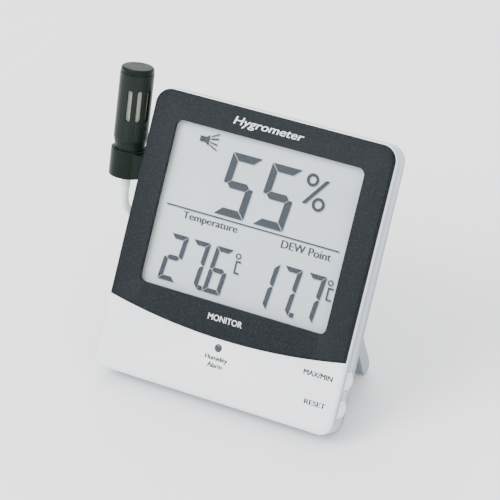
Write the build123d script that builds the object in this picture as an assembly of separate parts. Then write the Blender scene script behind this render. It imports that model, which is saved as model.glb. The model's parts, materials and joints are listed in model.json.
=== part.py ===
"""Desk hygrometer with an LCD, a lift-out probe on a cable and a fold-out stand.

Every piece is drawn upright in the housing's own frame: X to the right, Y from the front
face towards the back, Z up from the lower edge. The whole is then leaned back onto its
slanted base and the stand's foot, with the origin on the table under the middle of it.
"""

import os
from math import atan2, cos, degrees, hypot, pi, radians, sin, tan

from build123d import *

# ---- housing ----
HOUSING_WIDTH = 99.0
HOUSING_HEIGHT = 109.0
HOUSING_DEPTH = 20.0
TOP_CORNER_RADIUS = 6.5
BASE_CORNER_RADIUS = 5.0
BACK_CORNER_RADIUS = 3.5
WALL = 1.8
LEAN = 30.0

# ---- front shell and bezel ----
BEZEL_STEP = 0.7
BEZEL_THICKNESS = 2.2
BEZEL_LIP = 0.5
BEZEL_EDGE_RADIUS = 1.1
BEZEL_ARC_MIDDLE_Z = 23.3
BEZEL_ARC_RISE = 5.1
SEAT_THICKNESS = 1.4
FRONT_EDGE_RADIUS = 2.0
SEAM_DEPTH = 8.2
WINDOW_WIDTH = 77.6
WINDOW_HEIGHT = 62.2
WINDOW_BASE_Z = 36.0
WINDOW_CORNER_RADIUS = 2.6

# ---- rear shell ----
TOP_TAPER_DEPTH = 9.5
BASE_TAPER_DEPTH = 12.5
BACK_INSET = 5.2
BASE_TRIM = 0.3
BACK_EDGE_RADIUS = 1.2
RECESS_WALL = 1.6

# ---- display ----
LENS_THICKNESS = 0.8
LENS_BORDER = 4.2
LCD_BORDER = 3.2
POLARISER_THICKNESS = 0.2
GLASS_THICKNESS = 0.7
REFLECTOR_THICKNESS = 0.3
CONTACT_LEDGE = 3.0
FRAME_BACK = 1.0
FRAME_RIM = 2.0
FRAME_FLANGE = 2.2
FRAME_FLANGE_THICKNESS = 1.2
FRAME_FLANGE_HEIGHT = 50.0
DISPLAY_GAP = 0.3
ZEBRA_WIDTH = 2.0
ZEBRA_GAP = 0.3

# ---- main board ----
BOARD_FRONT = 9.4
BOARD_THICKNESS = 1.2
BOARD_SIDE_GAP = 4.0
BOARD_BASE_Z = 4.0
BOARD_TOP_Z = 49.4
BOARD_CORNER_RADIUS = 3.0
SCREW_X = 37.0
SCREW_ROWS = (9.0, 26.8)
BOSS_RADIUS = 2.4
SCREW_RADIUS = 0.9
SCREW_HEAD_RADIUS = 1.9
SCREW_HEAD_HEIGHT = 1.2
SCREW_SLOT_WIDTH = 0.6
SCREW_HEAD_SINK = 0.2
SCREW_LENGTH = 8.5
SCREW_HOLE_GAP = 0.2
CHIP_SIZE = 11.0
CHIP_HEIGHT = 1.1
CHIP_PLACE = (-4.0, 24.0)
CRYSTAL_RADIUS = 0.75
CRYSTAL_LENGTH = 6.0
CRYSTAL_PLACE = (10.0, 22.0)
BUZZER_RADIUS = 6.0
BUZZER_HEIGHT = 4.6
BUZZER_PLACE = (-22.0, 13.0)
BUZZER_PORT_RADIUS = 0.9

# ---- alarm lamp ----
LAMP_PLACE = (-0.9, 20.0)
LAMP_RADIUS = 1.5
LAMP_GAP = 0.05
LAMP_FLANGE_RADIUS = 2.0
LAMP_FLANGE_HEIGHT = 1.0

# ---- side buttons ----
SIDE_BUTTON_LENGTH = 7.2
SIDE_BUTTON_WIDTH = 4.6
SIDE_BUTTON_PROUD = 1.3
SIDE_BUTTON_GAP = 0.2
SIDE_BUTTON_FLANGE = 0.8
SIDE_BUTTON_TRAVEL = 0.8
SIDE_BUTTON_HEIGHTS = {"max_min_button": 21.3, "reset_button": 10.6}
SWITCH_LENGTH = 4.6
SWITCH_HEIGHT = 4.8
SWITCH_REACH = 2.8
PLUNGER_RISE = 3.4
PLUNGER_RADIUS = 0.7
PLUNGER_LENGTH = 0.7
PRESS_GAP = 0.1

# ---- rear keys ----
KEY_RADIUS = 2.6
KEY_GAP = 0.15
KEY_PROUD = 0.3
KEY_FLANGE = 0.8
KEY_FLANGE_THICKNESS = 0.5
KEY_STEM = 0.4
KEY_TRAVEL = 0.6
KEY_ROW_Z = 77.0
KEY_PITCH = 14.0
KEY_FIRST_X = 4.0
KEY_NAMES = ("mode_key", "up_key", "down_key")
KEY_SWITCH_SIZE = 4.4
KEY_SWITCH_HEIGHT = 2.0
KEY_BOARD_THICKNESS = 1.2
KEY_BOARD_HEIGHT = 10.0
KEY_BOARD_MARGIN = 8.0
KEY_POST_RADIUS = 1.8
KEY_SCREW_RADIUS = 0.8
KEY_SCREW_HEAD_RADIUS = 1.5
KEY_SCREW_HEAD_HEIGHT = 0.9
KEY_SCREW_LENGTH = 2.6

# ---- wall hanging keyhole ----
KEYHOLE_Z = 92.5
KEYHOLE_RADIUS = 3.6
KEYHOLE_SLOT_RADIUS = 1.8
KEYHOLE_SLOT_RISE = 6.5

# ---- battery ----
CELL_RADIUS = 5.25
CELL_LENGTH = 43.3
CELL_NUB_RADIUS = 1.9
CELL_NUB_LENGTH = 1.2
CELL_CENTRE_Z = 60.0
CELL_SIDE_GAP = 0.35
BAY_FLOOR = 0.8
BAY_WALL = 1.2
SPRING_ROOM = 5.0
CONTACT_ROOM = 1.0
CONTACT_THICKNESS = 0.4
CONTACT_WIDTH = 8.0
SPRING_WIRE_RADIUS = 0.3
SPRING_RADIUS = 3.0
SPRING_TURNS = 3.5
DOOR_THICKNESS = 1.6
DOOR_MARGIN = 1.6
DOOR_GAP = 0.25
DOOR_LEDGE = 0.8
DOOR_CORNER_RADIUS = 1.5
DOOR_GRIP_RIBS = 5
DOOR_GRIP_PITCH = 1.6
DOOR_GRIP_WIDTH = 0.7
DOOR_GRIP_DEPTH = 0.4
DOOR_GRIP_LENGTH = 9.0
DOOR_GRIP_X = 18.0

# ---- stand ----
STAND_WIDTH = 83.0
STAND_SIDE_GAP = 0.3
STAND_OPEN_ANGLE = 52.0
STAND_HINGE_Z = 45.0
STAND_FOOT_RADIUS = 2.9
STAND_BARREL_RADIUS = 2.3
STAND_FLUSH_GAP = 0.1
STAND_FLOOR_GAP = 0.4
STAND_TIP_GAP = 0.5
STAND_SKIN = 2.0
FINGER_NOTCH_WIDTH = 16.0
STAND_SIDE_WALL = 3.0
STAND_POCKET_MARGIN = 6.0
STAND_PIN_RADIUS = 1.25
STAND_PIN_GAP = 0.05
STAND_PIN_HOLD = 4.0
STAND_PIN_REACH = 2.9
HEEL_RADIUS = 3.5
HEEL_WIDTH = 1.6
HEEL_LENGTH = 12.0
HEEL_COUNT = 2
HEEL_CENTRE_X = 25.0
RECESS_TOP_GAP = 0.4

# ---- probe holder ----
HOLDER_SIDE_REACH = 8.95
HOLDER_PIVOT_DEPTH = 9.0
HOLDER_PIVOT_Z = 77.0
HOLDER_LEAN = 16.0
COLLAR_RADIUS = 7.0
COLLAR_BASE = -5.0
COLLAR_TOP = 5.9
COLLAR_FLOOR = 1.4
COLLAR_EDGE_RADIUS = 0.4
ARM_HALF_DEPTH = 5.4
ARM_BASE = -4.0
ARM_TOP = 5.3
ARM_SIDE_GAP = 0.4
PIVOT_RADIUS = 2.0
PIVOT_HEAD_RADIUS = 3.2
PIVOT_HEAD_THICKNESS = 1.2
PIVOT_HOLD = 1.6
PIVOT_GAP = 0.05
PIVOT_END_GAP = 0.2
PIVOT_HEAD_GAP = 0.2

# ---- probe ----
NECK_RADIUS = 5.8
NECK_GAP = 0.05
NECK_SEAT_GAP = 0.1
NECK_WALL = 1.6
NECK_FLOOR = 1.8
SHOULDER_BASE = 7.2
SHOULDER_TOP = 10.2
BARREL_RADIUS = 6.5
BARREL_WALL = 1.1
BARREL_TOP = 35.5
SPIGOT_LENGTH = 5.0
SPIGOT_WALL = 1.1
PROBE_TOP = 37.9
PROBE_TOP_RADIUS = 6.3
PROBE_TOP_EDGE = 0.9
PROBE_TOP_SPIGOT = 2.0
SLOT_BASE = 17.6
SLOT_LENGTH = 12.3
SLOT_WIDTH = 1.9
SLOT_FIRST_ANGLE = 9.0
SLOT_PITCH_ANGLE = 36.0
SLOTS_IN_GROUP = 3
SLOT_GROUPS = 2
SLEEVE_WALL = 0.4
SLEEVE_GAP = 0.1
SENSOR_BOARD_WIDTH = 6.0
SENSOR_BOARD_THICKNESS = 1.0
SENSOR_BOARD_BASE = 3.0
SENSOR_BOARD_TOP = 31.0
SENSOR_WIDTH = 4.6
SENSOR_HEIGHT = 6.0
SENSOR_THICKNESS = 1.6
BEAD_RADIUS = 0.9
TAIL_RADIUS = 1.75
TAIL_END = -9.7
TAIL_TO_CABLE = 0.3
TAIL_HEAD_RADIUS = 2.8
TAIL_HEAD_HEIGHT = 1.2
CABLE_SLOT_GAP = 0.5

# ---- cable ----
CABLE_RADIUS = 1.5
CABLE_ARC_SHARE = 0.45
PROBE_EXIT_RUN = 5.5
GLAND_EXIT_RUN = 7.5
GLAND_X = -37.0
GLAND_Z = 80.0
GLAND_RADIUS = 2.9
GLAND_FLANGE_RADIUS = 3.9
GLAND_FLANGE_HEIGHT = 1.0
GLAND_TAIL_RADIUS = 2.0
GLAND_TAIL_LENGTH = 7.0
COIL_CENTRE = (-32.5, 92.0)
COIL_RADIUS = 18.0
COIL_WIDTH = 6.6
COIL_HEIGHT = 6.0

# The cable's route, from the lower front edge of the leaned housing, Z above the table.
PROBE_LEAD_ROUTE = [
    (-57.8, 44.0, 48.3),
    (-55.6, 49.6, 41.5),
    (-54.3, 54.5, 30.5),
    (-53.4, 58.5, 19.0),
    (-52.6, 63.5, 9.5),
    (-51.2, 72.0, 3.9),
    (-50.6, 83.0, 2.6),
]
GLAND_LEAD_ROUTE = [
    (-37.2, 74.0, 50.3),
    (-37.5, 75.8, 36.5),
    (-37.4, 75.2, 22.5),
    (-35.5, 74.4, 10.5),
    (-28.5, 74.4, 4.6),
]

# ---- sizes that follow from the ones above ----
HALF_WIDTH = HOUSING_WIDTH / 2
SIDE_BUTTON_DEPTH = SEAM_DEPTH - SIDE_BUTTON_GAP - SIDE_BUTTON_WIDTH / 2
BACK_INNER = HOUSING_DEPTH - WALL
CAVITY_FRONT = BEZEL_THICKNESS + SEAT_THICKNESS
WINDOW_CENTRE_Z = WINDOW_BASE_Z + WINDOW_HEIGHT / 2
LENS_BACK = BEZEL_THICKNESS + LENS_THICKNESS
GLASS_FRONT = LENS_BACK + POLARISER_THICKNESS
GLASS_MIDDLE = GLASS_FRONT + GLASS_THICKNESS
GLASS_BACK = GLASS_MIDDLE + GLASS_THICKNESS
LCD_BACK = GLASS_BACK + REFLECTOR_THICKNESS
FRAME_REAR = LCD_BACK + FRAME_BACK
LCD_WIDTH = WINDOW_WIDTH + 2 * LCD_BORDER
LCD_HEIGHT = WINDOW_HEIGHT + 2 * LCD_BORDER
LCD_BASE_Z = WINDOW_BASE_Z - LCD_BORDER
FRAME_WIDTH = LCD_WIDTH + 2 * FRAME_RIM
FRAME_HEIGHT = LCD_HEIGHT + 2 * FRAME_RIM
BOARD_REAR = BOARD_FRONT + BOARD_THICKNESS
RECESS_FLOOR = HOUSING_DEPTH - STAND_FLUSH_GAP - 2 * STAND_FOOT_RADIUS - STAND_FLOOR_GAP
RECESS_INNER = RECESS_FLOOR - RECESS_WALL
SCREW_SEAT = RECESS_FLOOR - SCREW_HEAD_HEIGHT - SCREW_HEAD_SINK
RECESS_HALF_WIDTH = STAND_WIDTH / 2 + STAND_SIDE_GAP
STAND_HINGE_DEPTH = HOUSING_DEPTH - STAND_FLUSH_GAP - STAND_FOOT_RADIUS
HEEL_REACH = hypot(HEEL_RADIUS, HEEL_WIDTH / 2)
RECESS_TOP_Z = STAND_HINGE_Z + HEEL_REACH + RECESS_TOP_GAP
BAY_FRONT = FRAME_REAR + ZEBRA_GAP
BAY_INNER_FRONT = BAY_FRONT + BAY_FLOOR
CELL_CENTRE_DEPTH = BAY_INNER_FRONT + CELL_SIDE_GAP + CELL_RADIUS
BAY_HALF_HEIGHT = CELL_RADIUS + CELL_SIDE_GAP
BAY_LENGTH = SPRING_ROOM + CELL_LENGTH + CELL_NUB_LENGTH + CONTACT_ROOM
DOOR_FRONT = HOUSING_DEPTH - DOOR_THICKNESS
DOOR_LENGTH = BAY_LENGTH + 2 * DOOR_MARGIN
DOOR_HEIGHT = 2 * BAY_HALF_HEIGHT + 2 * DOOR_MARGIN
HOLDER_X = -HALF_WIDTH - HOLDER_SIDE_REACH
HOLDER_GAP_X = -HALF_WIDTH - ARM_SIDE_GAP
NECK_BASE = COLLAR_BASE + COLLAR_FLOOR + NECK_SEAT_GAP


# ---- helpers ----
def slab(outline, front, back):
    """A flat outline drawn in X and Z, given thickness from one depth to another."""
    plane = Plane(origin=(0, back, 0), x_dir=(1, 0, 0), z_dir=(0, -1, 0))
    return extrude(plane * outline, back - front)


def panel(width, height, x, z, radius=0.0):
    """A rectangle centred at x, z, with rounded corners if a radius is given."""
    shape = RectangleRounded(width, height, radius) if radius else Rectangle(width, height)
    return Pos(x, z) * shape


def block(x_range, y_range, z_range):
    """A plain box between three pairs of limits."""
    low, high = zip(x_range, y_range, z_range)
    size = [b - a for a, b in zip(low, high)]
    centre = [(a + b) / 2 for a, b in zip(low, high)]
    return Pos(*centre) * Box(*size)


def depth_bar(radius, front, back, x, z):
    """A round bar that runs from the front towards the back."""
    return slab(Pos(x, z) * Circle(radius), front, back)


def cross_bar(radius, left, right, y, z):
    """A round bar that runs across, along X."""
    plane = Plane(origin=(left, y, z), x_dir=(0, 1, 0), z_dir=(1, 0, 0))
    return extrude(plane * Circle(radius), right - left)


def disc(radius, low, high):
    """A round disc or bar on the probe's own axis, between two stations along it."""
    return Pos(0, 0, (low + high) / 2) * Cylinder(radius, high - low)


def tube(outer, inner, low, high):
    """A round tube on the probe's own axis."""
    return disc(outer, low, high) - disc(inner, low, high)


def group(shapes):
    """Separate solids that share one node."""
    return Compound([solid for shape in shapes for solid in shape.solids()])


def housing_outline(inset=0.0, top_radius=TOP_CORNER_RADIUS, base_radius=BASE_CORNER_RADIUS):
    """The housing's front outline, drawn in by an inset."""
    face = Pos(0, HOUSING_HEIGHT / 2) * Rectangle(HOUSING_WIDTH - 2 * inset, HOUSING_HEIGHT - 2 * inset)
    face = fillet(face.vertices().group_by(Axis.Y)[-1], max(top_radius - inset, WALL))
    return fillet(face.vertices().group_by(Axis.Y)[0], max(base_radius - inset, WALL))


def bezel_outline():
    """The bezel plate: the housing's outline inside its lip, cut off below by a shallow arc."""
    half = HALF_WIDTH
    ends_z = BEZEL_ARC_MIDDLE_Z + BEZEL_ARC_RISE
    arc = ThreePointArc((-half, ends_z), (0, BEZEL_ARC_MIDDLE_Z), (half, ends_z))
    rest = Polyline((half, ends_z), (half, HOUSING_HEIGHT), (-half, HOUSING_HEIGHT), (-half, ends_z))
    return make_face([arc, rest]) & housing_outline(BEZEL_LIP)


def side_button_slot(height):
    """The notch in the front shell's right side, open to the seam, for a side button."""
    half_length = SIDE_BUTTON_LENGTH / 2 + SIDE_BUTTON_GAP
    front = SIDE_BUTTON_DEPTH - SIDE_BUTTON_WIDTH / 2 - SIDE_BUTTON_GAP
    across_x = (HALF_WIDTH - 2 * WALL, HALF_WIDTH + WALL)
    return block(across_x, (front, SEAM_DEPTH), (height - half_length, height + half_length))


def key_places():
    """The X places of the rear keys."""
    return [KEY_FIRST_X + index * KEY_PITCH for index in range(len(KEY_NAMES))]


def screw_places():
    """X and Z of the case screws."""
    return [(side * SCREW_X, z) for side in (-1, 1) for z in SCREW_ROWS]


def key_board_span():
    """The left and right ends of the key board."""
    places = key_places()
    return places[0] - KEY_BOARD_MARGIN, places[-1] + KEY_BOARD_MARGIN


def key_post_places():
    """The X places of the two posts that hold the key board."""
    left, right = key_board_span()
    return [left + KEY_POST_RADIUS, right - KEY_POST_RADIUS]


# ---- housing shells and what closes them ----
def front_shell():
    """Pearl front half with the bezel's seat, the display opening and the screw bosses."""
    shell = slab(housing_outline(), BEZEL_STEP, SEAM_DEPTH)
    shell = fillet(shell.faces().sort_by(Axis.Y)[0].edges(), FRONT_EDGE_RADIUS)
    shell -= slab(housing_outline(WALL), CAVITY_FRONT, SEAM_DEPTH)
    shell -= slab(bezel_outline(), -BEZEL_STEP, BEZEL_THICKNESS)
    opening = panel(FRAME_WIDTH + 2 * DISPLAY_GAP, FRAME_HEIGHT + 2 * DISPLAY_GAP, 0, WINDOW_CENTRE_Z)
    shell -= slab(opening, 0, CAVITY_FRONT)
    for x, z in screw_places():
        shell += depth_bar(BOSS_RADIUS, CAVITY_FRONT, BOARD_FRONT, x, z)
        shell -= depth_bar(SCREW_RADIUS, CAVITY_FRONT, BOARD_FRONT, x, z)
    shell -= depth_bar(LAMP_RADIUS + LAMP_GAP, 0, CAVITY_FRONT, *LAMP_PLACE)
    for height in SIDE_BUTTON_HEIGHTS.values():
        shell -= side_button_slot(height)
    return shell - holder_bearing()


def bezel_plate():
    """Charcoal plate that stands a little proud of the front shell, with the window in it."""
    plate = slab(bezel_outline(), 0, BEZEL_THICKNESS)
    plate = fillet(plate.faces().sort_by(Axis.Y)[0].edges(), BEZEL_EDGE_RADIUS)
    window = panel(WINDOW_WIDTH, WINDOW_HEIGHT, 0, WINDOW_CENTRE_Z, WINDOW_CORNER_RADIUS)
    return plate - slab(window, -BEZEL_STEP, BEZEL_THICKNESS)


def taper_plane():
    """Where the rear shell starts to draw in, further back at the base than at the top."""
    tilt = degrees(atan2(BASE_TAPER_DEPTH - TOP_TAPER_DEPTH, HOUSING_HEIGHT))
    normal = Vector(0, 1, 0).rotate(Axis.X, tilt)
    return Plane(origin=(0, BASE_TAPER_DEPTH, 0), x_dir=(1, 0, 0), z_dir=normal)


def base_rise(depth):
    """How high the slanted base is above the lower edge, at a depth behind its front."""
    return (depth - BASE_TAPER_DEPTH) * tan(radians(LEAN))


def under_base():
    """Everything below the slanted base, which meets the table all along when leaned."""
    reach = 4 * HOUSING_DEPTH
    cutter = Pos(0, 0, -reach / 2) * Box(2 * HOUSING_WIDTH, 2 * reach, reach)
    return Pos(0, BASE_TAPER_DEPTH, 0) * Rot(LEAN, 0, 0) * cutter


def tapered_body(inset, front, back, trim=0.0):
    """The rear shell's body: straight to the taper, then drawn in towards the back.

    Its lower face slants at the housing's lean, or a trim allowance below that.
    """
    prism = slab(housing_outline(inset), front, BASE_TAPER_DEPTH + WALL)
    straight = split(prism, bisect_by=taper_plane(), keep=Keep.BOTTOM)
    start = straight.faces().sort_by(Axis.Y)[-1]
    side_inset = inset + BACK_INSET * (back - TOP_TAPER_DEPTH) / (HOUSING_DEPTH - TOP_TAPER_DEPTH)
    low = base_rise(back) + inset / cos(radians(LEAN)) - trim
    high = HOUSING_HEIGHT - side_inset
    outline = panel(HOUSING_WIDTH - 2 * side_inset, high - low, 0, (high + low) / 2, BACK_CORNER_RADIUS)
    plane = Plane(origin=(0, back, 0), x_dir=(1, 0, 0), z_dir=(0, -1, 0))
    return straight + loft([start, (plane * outline).faces()[0]], ruled=True)


def rear_shell():
    """Rear half with the stand's recess, the battery bay, keys, keyhole and screw posts."""
    outer = tapered_body(0, SEAM_DEPTH, HOUSING_DEPTH, BASE_TRIM)
    back_edges = outer.faces().sort_by(Axis.Y)[-1].edges().sort_by(Axis.Z)[1:]
    outer = fillet(back_edges, BACK_EDGE_RADIUS)
    above_base = outer - under_base()
    outer = above_base.solids().sort_by(SortBy.VOLUME)[-1]
    shell = outer - tapered_body(WALL, SEAM_DEPTH, BACK_INNER)
    recess_x = RECESS_HALF_WIDTH + RECESS_WALL
    recess_z = (recess_base_z() - RECESS_WALL, RECESS_TOP_Z + RECESS_WALL)
    shell += block((-recess_x, recess_x), (RECESS_INNER, HOUSING_DEPTH), recess_z) & outer
    shell += stand_bearings() & outer
    sides = (-RECESS_HALF_WIDTH, RECESS_HALF_WIDTH)
    shell -= block(sides, (RECESS_FLOOR, 2 * HOUSING_DEPTH), (recess_base_z(), RECESS_TOP_Z))
    notch = (-FINGER_NOTCH_WIDTH / 2, FINGER_NOTCH_WIDTH / 2)
    shell -= block(notch, (STAND_HINGE_DEPTH, 2 * HOUSING_DEPTH), (0, recess_base_z()))
    pin_end = STAND_WIDTH / 2 + STAND_PIN_REACH + STAND_PIN_GAP
    shell -= cross_bar(STAND_PIN_RADIUS + STAND_PIN_GAP, -pin_end, pin_end, STAND_HINGE_DEPTH, STAND_HINGE_Z)
    for x, z in screw_places():
        shell += depth_bar(BOSS_RADIUS, BOARD_REAR, RECESS_INNER, x, z)
        shell -= depth_bar(SCREW_RADIUS + SCREW_HOLE_GAP, BOARD_REAR, RECESS_FLOOR, x, z)
        shell -= depth_bar(SCREW_HEAD_RADIUS + SCREW_HOLE_GAP, SCREW_SEAT, RECESS_FLOOR, x, z)
    shell = battery_bay(shell)
    shell = key_seats(shell)
    keyhole = Pos(0, KEYHOLE_Z) * Circle(KEYHOLE_RADIUS)
    keyhole += panel(2 * KEYHOLE_SLOT_RADIUS, KEYHOLE_SLOT_RISE, 0, KEYHOLE_Z + KEYHOLE_SLOT_RISE / 2)
    keyhole += Pos(0, KEYHOLE_Z + KEYHOLE_SLOT_RISE) * Circle(KEYHOLE_SLOT_RADIUS)
    shell -= slab(keyhole, BACK_INNER - WALL, HOUSING_DEPTH + WALL)
    shell -= depth_bar(GLAND_RADIUS, BACK_INNER - WALL, HOUSING_DEPTH + WALL, GLAND_X, GLAND_Z)
    return shell - holder_bearing()


def recess_base_z():
    """Lower edge of the stand's recess, just below the closed stand's tip."""
    return STAND_HINGE_Z - stand_reach() - STAND_FOOT_RADIUS - STAND_TIP_GAP


def stand_bearings():
    """Solid cheeks round the stand's pins, inside the shell's two sides."""
    outer = STAND_WIDTH / 2 + STAND_PIN_REACH + WALL
    radius = STAND_PIN_RADIUS + WALL
    left = cross_bar(radius, -outer, -RECESS_HALF_WIDTH, STAND_HINGE_DEPTH, STAND_HINGE_Z)
    right = cross_bar(radius, RECESS_HALF_WIDTH, outer, STAND_HINGE_DEPTH, STAND_HINGE_Z)
    return left + right


def battery_bay(shell):
    """The shell with the battery's box, its opening and the ledge that the door lies on."""
    half_length = BAY_LENGTH / 2
    inner_x = (-half_length, half_length)
    outer_x = (-half_length - BAY_WALL, half_length + BAY_WALL)
    inner_z = (CELL_CENTRE_Z - BAY_HALF_HEIGHT, CELL_CENTRE_Z + BAY_HALF_HEIGHT)
    outer_z = (inner_z[0] - BAY_WALL, inner_z[1] + BAY_WALL)
    shell += block(outer_x, (BAY_FRONT, BACK_INNER), outer_z)
    shell -= block(inner_x, (BAY_INNER_FRONT, 2 * HOUSING_DEPTH), inner_z)
    rim = DOOR_LEDGE + DOOR_GAP
    seat = panel(DOOR_LENGTH + 2 * rim, DOOR_HEIGHT + 2 * rim, 0, CELL_CENTRE_Z)
    shell += slab(seat, DOOR_FRONT - WALL, BACK_INNER) - block(inner_x, (0, HOUSING_DEPTH), inner_z)
    gap = 2 * DOOR_GAP
    pocket = panel(DOOR_LENGTH + gap, DOOR_HEIGHT + gap, 0, CELL_CENTRE_Z, DOOR_CORNER_RADIUS)
    return shell - slab(pocket, DOOR_FRONT - DOOR_GAP, 2 * HOUSING_DEPTH)


def key_seats(shell):
    """The shell with holes for the rear keys and posts for their board."""
    for x in key_places():
        shell -= depth_bar(KEY_RADIUS + KEY_GAP, BACK_INNER - WALL, 2 * HOUSING_DEPTH, x, KEY_ROW_Z)
    for x in key_post_places():
        shell += depth_bar(KEY_POST_RADIUS, key_board_rear(), BACK_INNER, x, KEY_ROW_Z)
        shell -= depth_bar(KEY_SCREW_RADIUS, key_board_rear(), BACK_INNER, x, KEY_ROW_Z)
    return shell


def case_screws():
    """Screws that hold the two shells together through the board, heads in the recess."""
    screws = []
    for x, z in screw_places():
        shank = depth_bar(SCREW_RADIUS, SCREW_SEAT - SCREW_LENGTH, SCREW_SEAT, x, z)
        head = depth_bar(SCREW_HEAD_RADIUS, SCREW_SEAT, SCREW_SEAT + SCREW_HEAD_HEIGHT, x, z)
        slot_depth = SCREW_SEAT + SCREW_HEAD_HEIGHT / 2
        slots = panel(2 * SCREW_RADIUS, SCREW_SLOT_WIDTH, x, z)
        slots += panel(SCREW_SLOT_WIDTH, 2 * SCREW_RADIUS, x, z)
        screws.append(shank + head - slab(slots, slot_depth, SCREW_SEAT + 2 * SCREW_HEAD_HEIGHT))
    return group(screws)


# ---- display ----
def display_layer(front, back, base_rise=0.0):
    """One sheet of the LCD, shorter at its lower edge if a rise is given."""
    centre = WINDOW_CENTRE_Z + base_rise / 2
    return slab(panel(LCD_WIDTH, LCD_HEIGHT - base_rise, 0, centre), front, back)


def display_lens():
    """Clear sheet behind the bezel."""
    outline = panel(WINDOW_WIDTH + 2 * LENS_BORDER, WINDOW_HEIGHT + 2 * LENS_BORDER, 0, WINDOW_CENTRE_Z)
    return slab(outline, BEZEL_THICKNESS, LENS_BACK)


def lcd_frame():
    """White tray that holds the LCD in the shell's opening, with a slot for the contact strip."""
    tray = slab(panel(FRAME_WIDTH, FRAME_HEIGHT, 0, WINDOW_CENTRE_Z), LENS_BACK, FRAME_REAR)
    flange_back = CAVITY_FRONT + FRAME_FLANGE_THICKNESS
    flange = panel(FRAME_WIDTH + 2 * FRAME_FLANGE, FRAME_FLANGE_HEIGHT, 0, WINDOW_CENTRE_Z)
    tray += slab(flange, CAVITY_FRONT, flange_back)
    tray -= slab(panel(LCD_WIDTH, LCD_HEIGHT, 0, WINDOW_CENTRE_Z), 0, LCD_BACK)
    slot = panel(WINDOW_WIDTH + 2 * ZEBRA_GAP, ZEBRA_WIDTH + 2 * ZEBRA_GAP, 0, zebra_centre_z())
    return tray - slab(slot, 0, 2 * FRAME_REAR)


def zebra_centre_z():
    """Height of the contact strip's centre, in the middle of the front glass's ledge."""
    return LCD_BASE_Z + CONTACT_LEDGE / 2


def zebra_strip():
    """Soft striped contact strip between the front glass and the board."""
    return slab(panel(WINDOW_WIDTH, ZEBRA_WIDTH, 0, zebra_centre_z()), GLASS_MIDDLE, BOARD_FRONT)


# ---- boards and what is on them ----
def main_board():
    """Circuit board clamped between the screw bosses."""
    width = HOUSING_WIDTH - 2 * BOARD_SIDE_GAP
    height = BOARD_TOP_Z - BOARD_BASE_Z
    outline = panel(width, height, 0, BOARD_BASE_Z + height / 2, BOARD_CORNER_RADIUS)
    for x, z in screw_places():
        outline -= Pos(x, z) * Circle(SCREW_RADIUS + SCREW_HOLE_GAP)
    return slab(outline, BOARD_FRONT, BOARD_REAR)


def chip_blob():
    """Low dome of resin over the bare chip, on the back of the board."""
    x, z = CHIP_PLACE
    blob = slab(panel(CHIP_SIZE, CHIP_SIZE, x, z, CHIP_SIZE / 3), BOARD_REAR, BOARD_REAR + CHIP_HEIGHT)
    return fillet(blob.faces().sort_by(Axis.Y)[-1].edges(), CHIP_HEIGHT * 2 / 3)


def crystal():
    """Small watch crystal can lying on the back of the board."""
    x, z = CRYSTAL_PLACE
    return cross_bar(CRYSTAL_RADIUS, x, x + CRYSTAL_LENGTH, BOARD_REAR + CRYSTAL_RADIUS, z)


def buzzer():
    """Round alarm sounder on the front of the board."""
    can = depth_bar(BUZZER_RADIUS, BOARD_FRONT - BUZZER_HEIGHT, BOARD_FRONT, *BUZZER_PLACE)
    port_back = BOARD_FRONT - BUZZER_HEIGHT / 2
    return can - depth_bar(BUZZER_PORT_RADIUS, BOARD_FRONT - BUZZER_HEIGHT, port_back, *BUZZER_PLACE)


def alarm_lamp():
    """Round lamp that stands on the board and shows through the front shell."""
    lamp = depth_bar(LAMP_RADIUS, BEZEL_STEP, BOARD_FRONT, *LAMP_PLACE)
    lamp = fillet(lamp.faces().sort_by(Axis.Y)[0].edges(), LAMP_RADIUS / 2)
    return lamp + depth_bar(LAMP_FLANGE_RADIUS, BOARD_FRONT - LAMP_FLANGE_HEIGHT, BOARD_FRONT, *LAMP_PLACE)


def button_inner_face():
    """X of the side buttons' inner face at rest."""
    return HALF_WIDTH - WALL - SIDE_BUTTON_GAP - SIDE_BUTTON_FLANGE


def side_switches():
    """Two switches on the front of the board, just inside the side buttons."""
    switches = []
    tip = button_inner_face() - SIDE_BUTTON_TRAVEL - PRESS_GAP
    right = tip - PLUNGER_LENGTH
    depth = (BOARD_FRONT - SWITCH_HEIGHT, BOARD_FRONT)
    for height in SIDE_BUTTON_HEIGHTS.values():
        upright = (height - SWITCH_LENGTH / 2, height + SWITCH_LENGTH / 2)
        body = block((right - SWITCH_REACH, right), depth, upright)
        plunger = cross_bar(PLUNGER_RADIUS, right, tip, BOARD_FRONT - PLUNGER_RISE, height)
        switches.append(body + plunger)
    return group(switches)


def side_button(height):
    """Side button with a crowned outer face and a flange that keeps it in the housing."""
    half = SIDE_BUTTON_LENGTH / 2
    crown_radius = (half**2 + SIDE_BUTTON_PROUD**2) / (2 * SIDE_BUTTON_PROUD)
    depth = (SIDE_BUTTON_DEPTH - SIDE_BUTTON_WIDTH / 2, SIDE_BUTTON_DEPTH + SIDE_BUTTON_WIDTH / 2)
    body = block((button_inner_face(), HALF_WIDTH), depth, (height - half, height + half))
    crown_centre_x = HALF_WIDTH + SIDE_BUTTON_PROUD - crown_radius
    crown = slab(Pos(crown_centre_x, height) * Circle(crown_radius), depth[0], depth[1])
    proud = block((HALF_WIDTH, HALF_WIDTH + SIDE_BUTTON_PROUD), depth, (height - half, height + half))
    reach = half + SIDE_BUTTON_FLANGE
    flange_x = (button_inner_face(), button_inner_face() + SIDE_BUTTON_FLANGE)
    flange_depth = (CAVITY_FRONT + SIDE_BUTTON_GAP, depth[1])
    return body + (proud & crown) + block(flange_x, flange_depth, (height - reach, height + reach))


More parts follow.
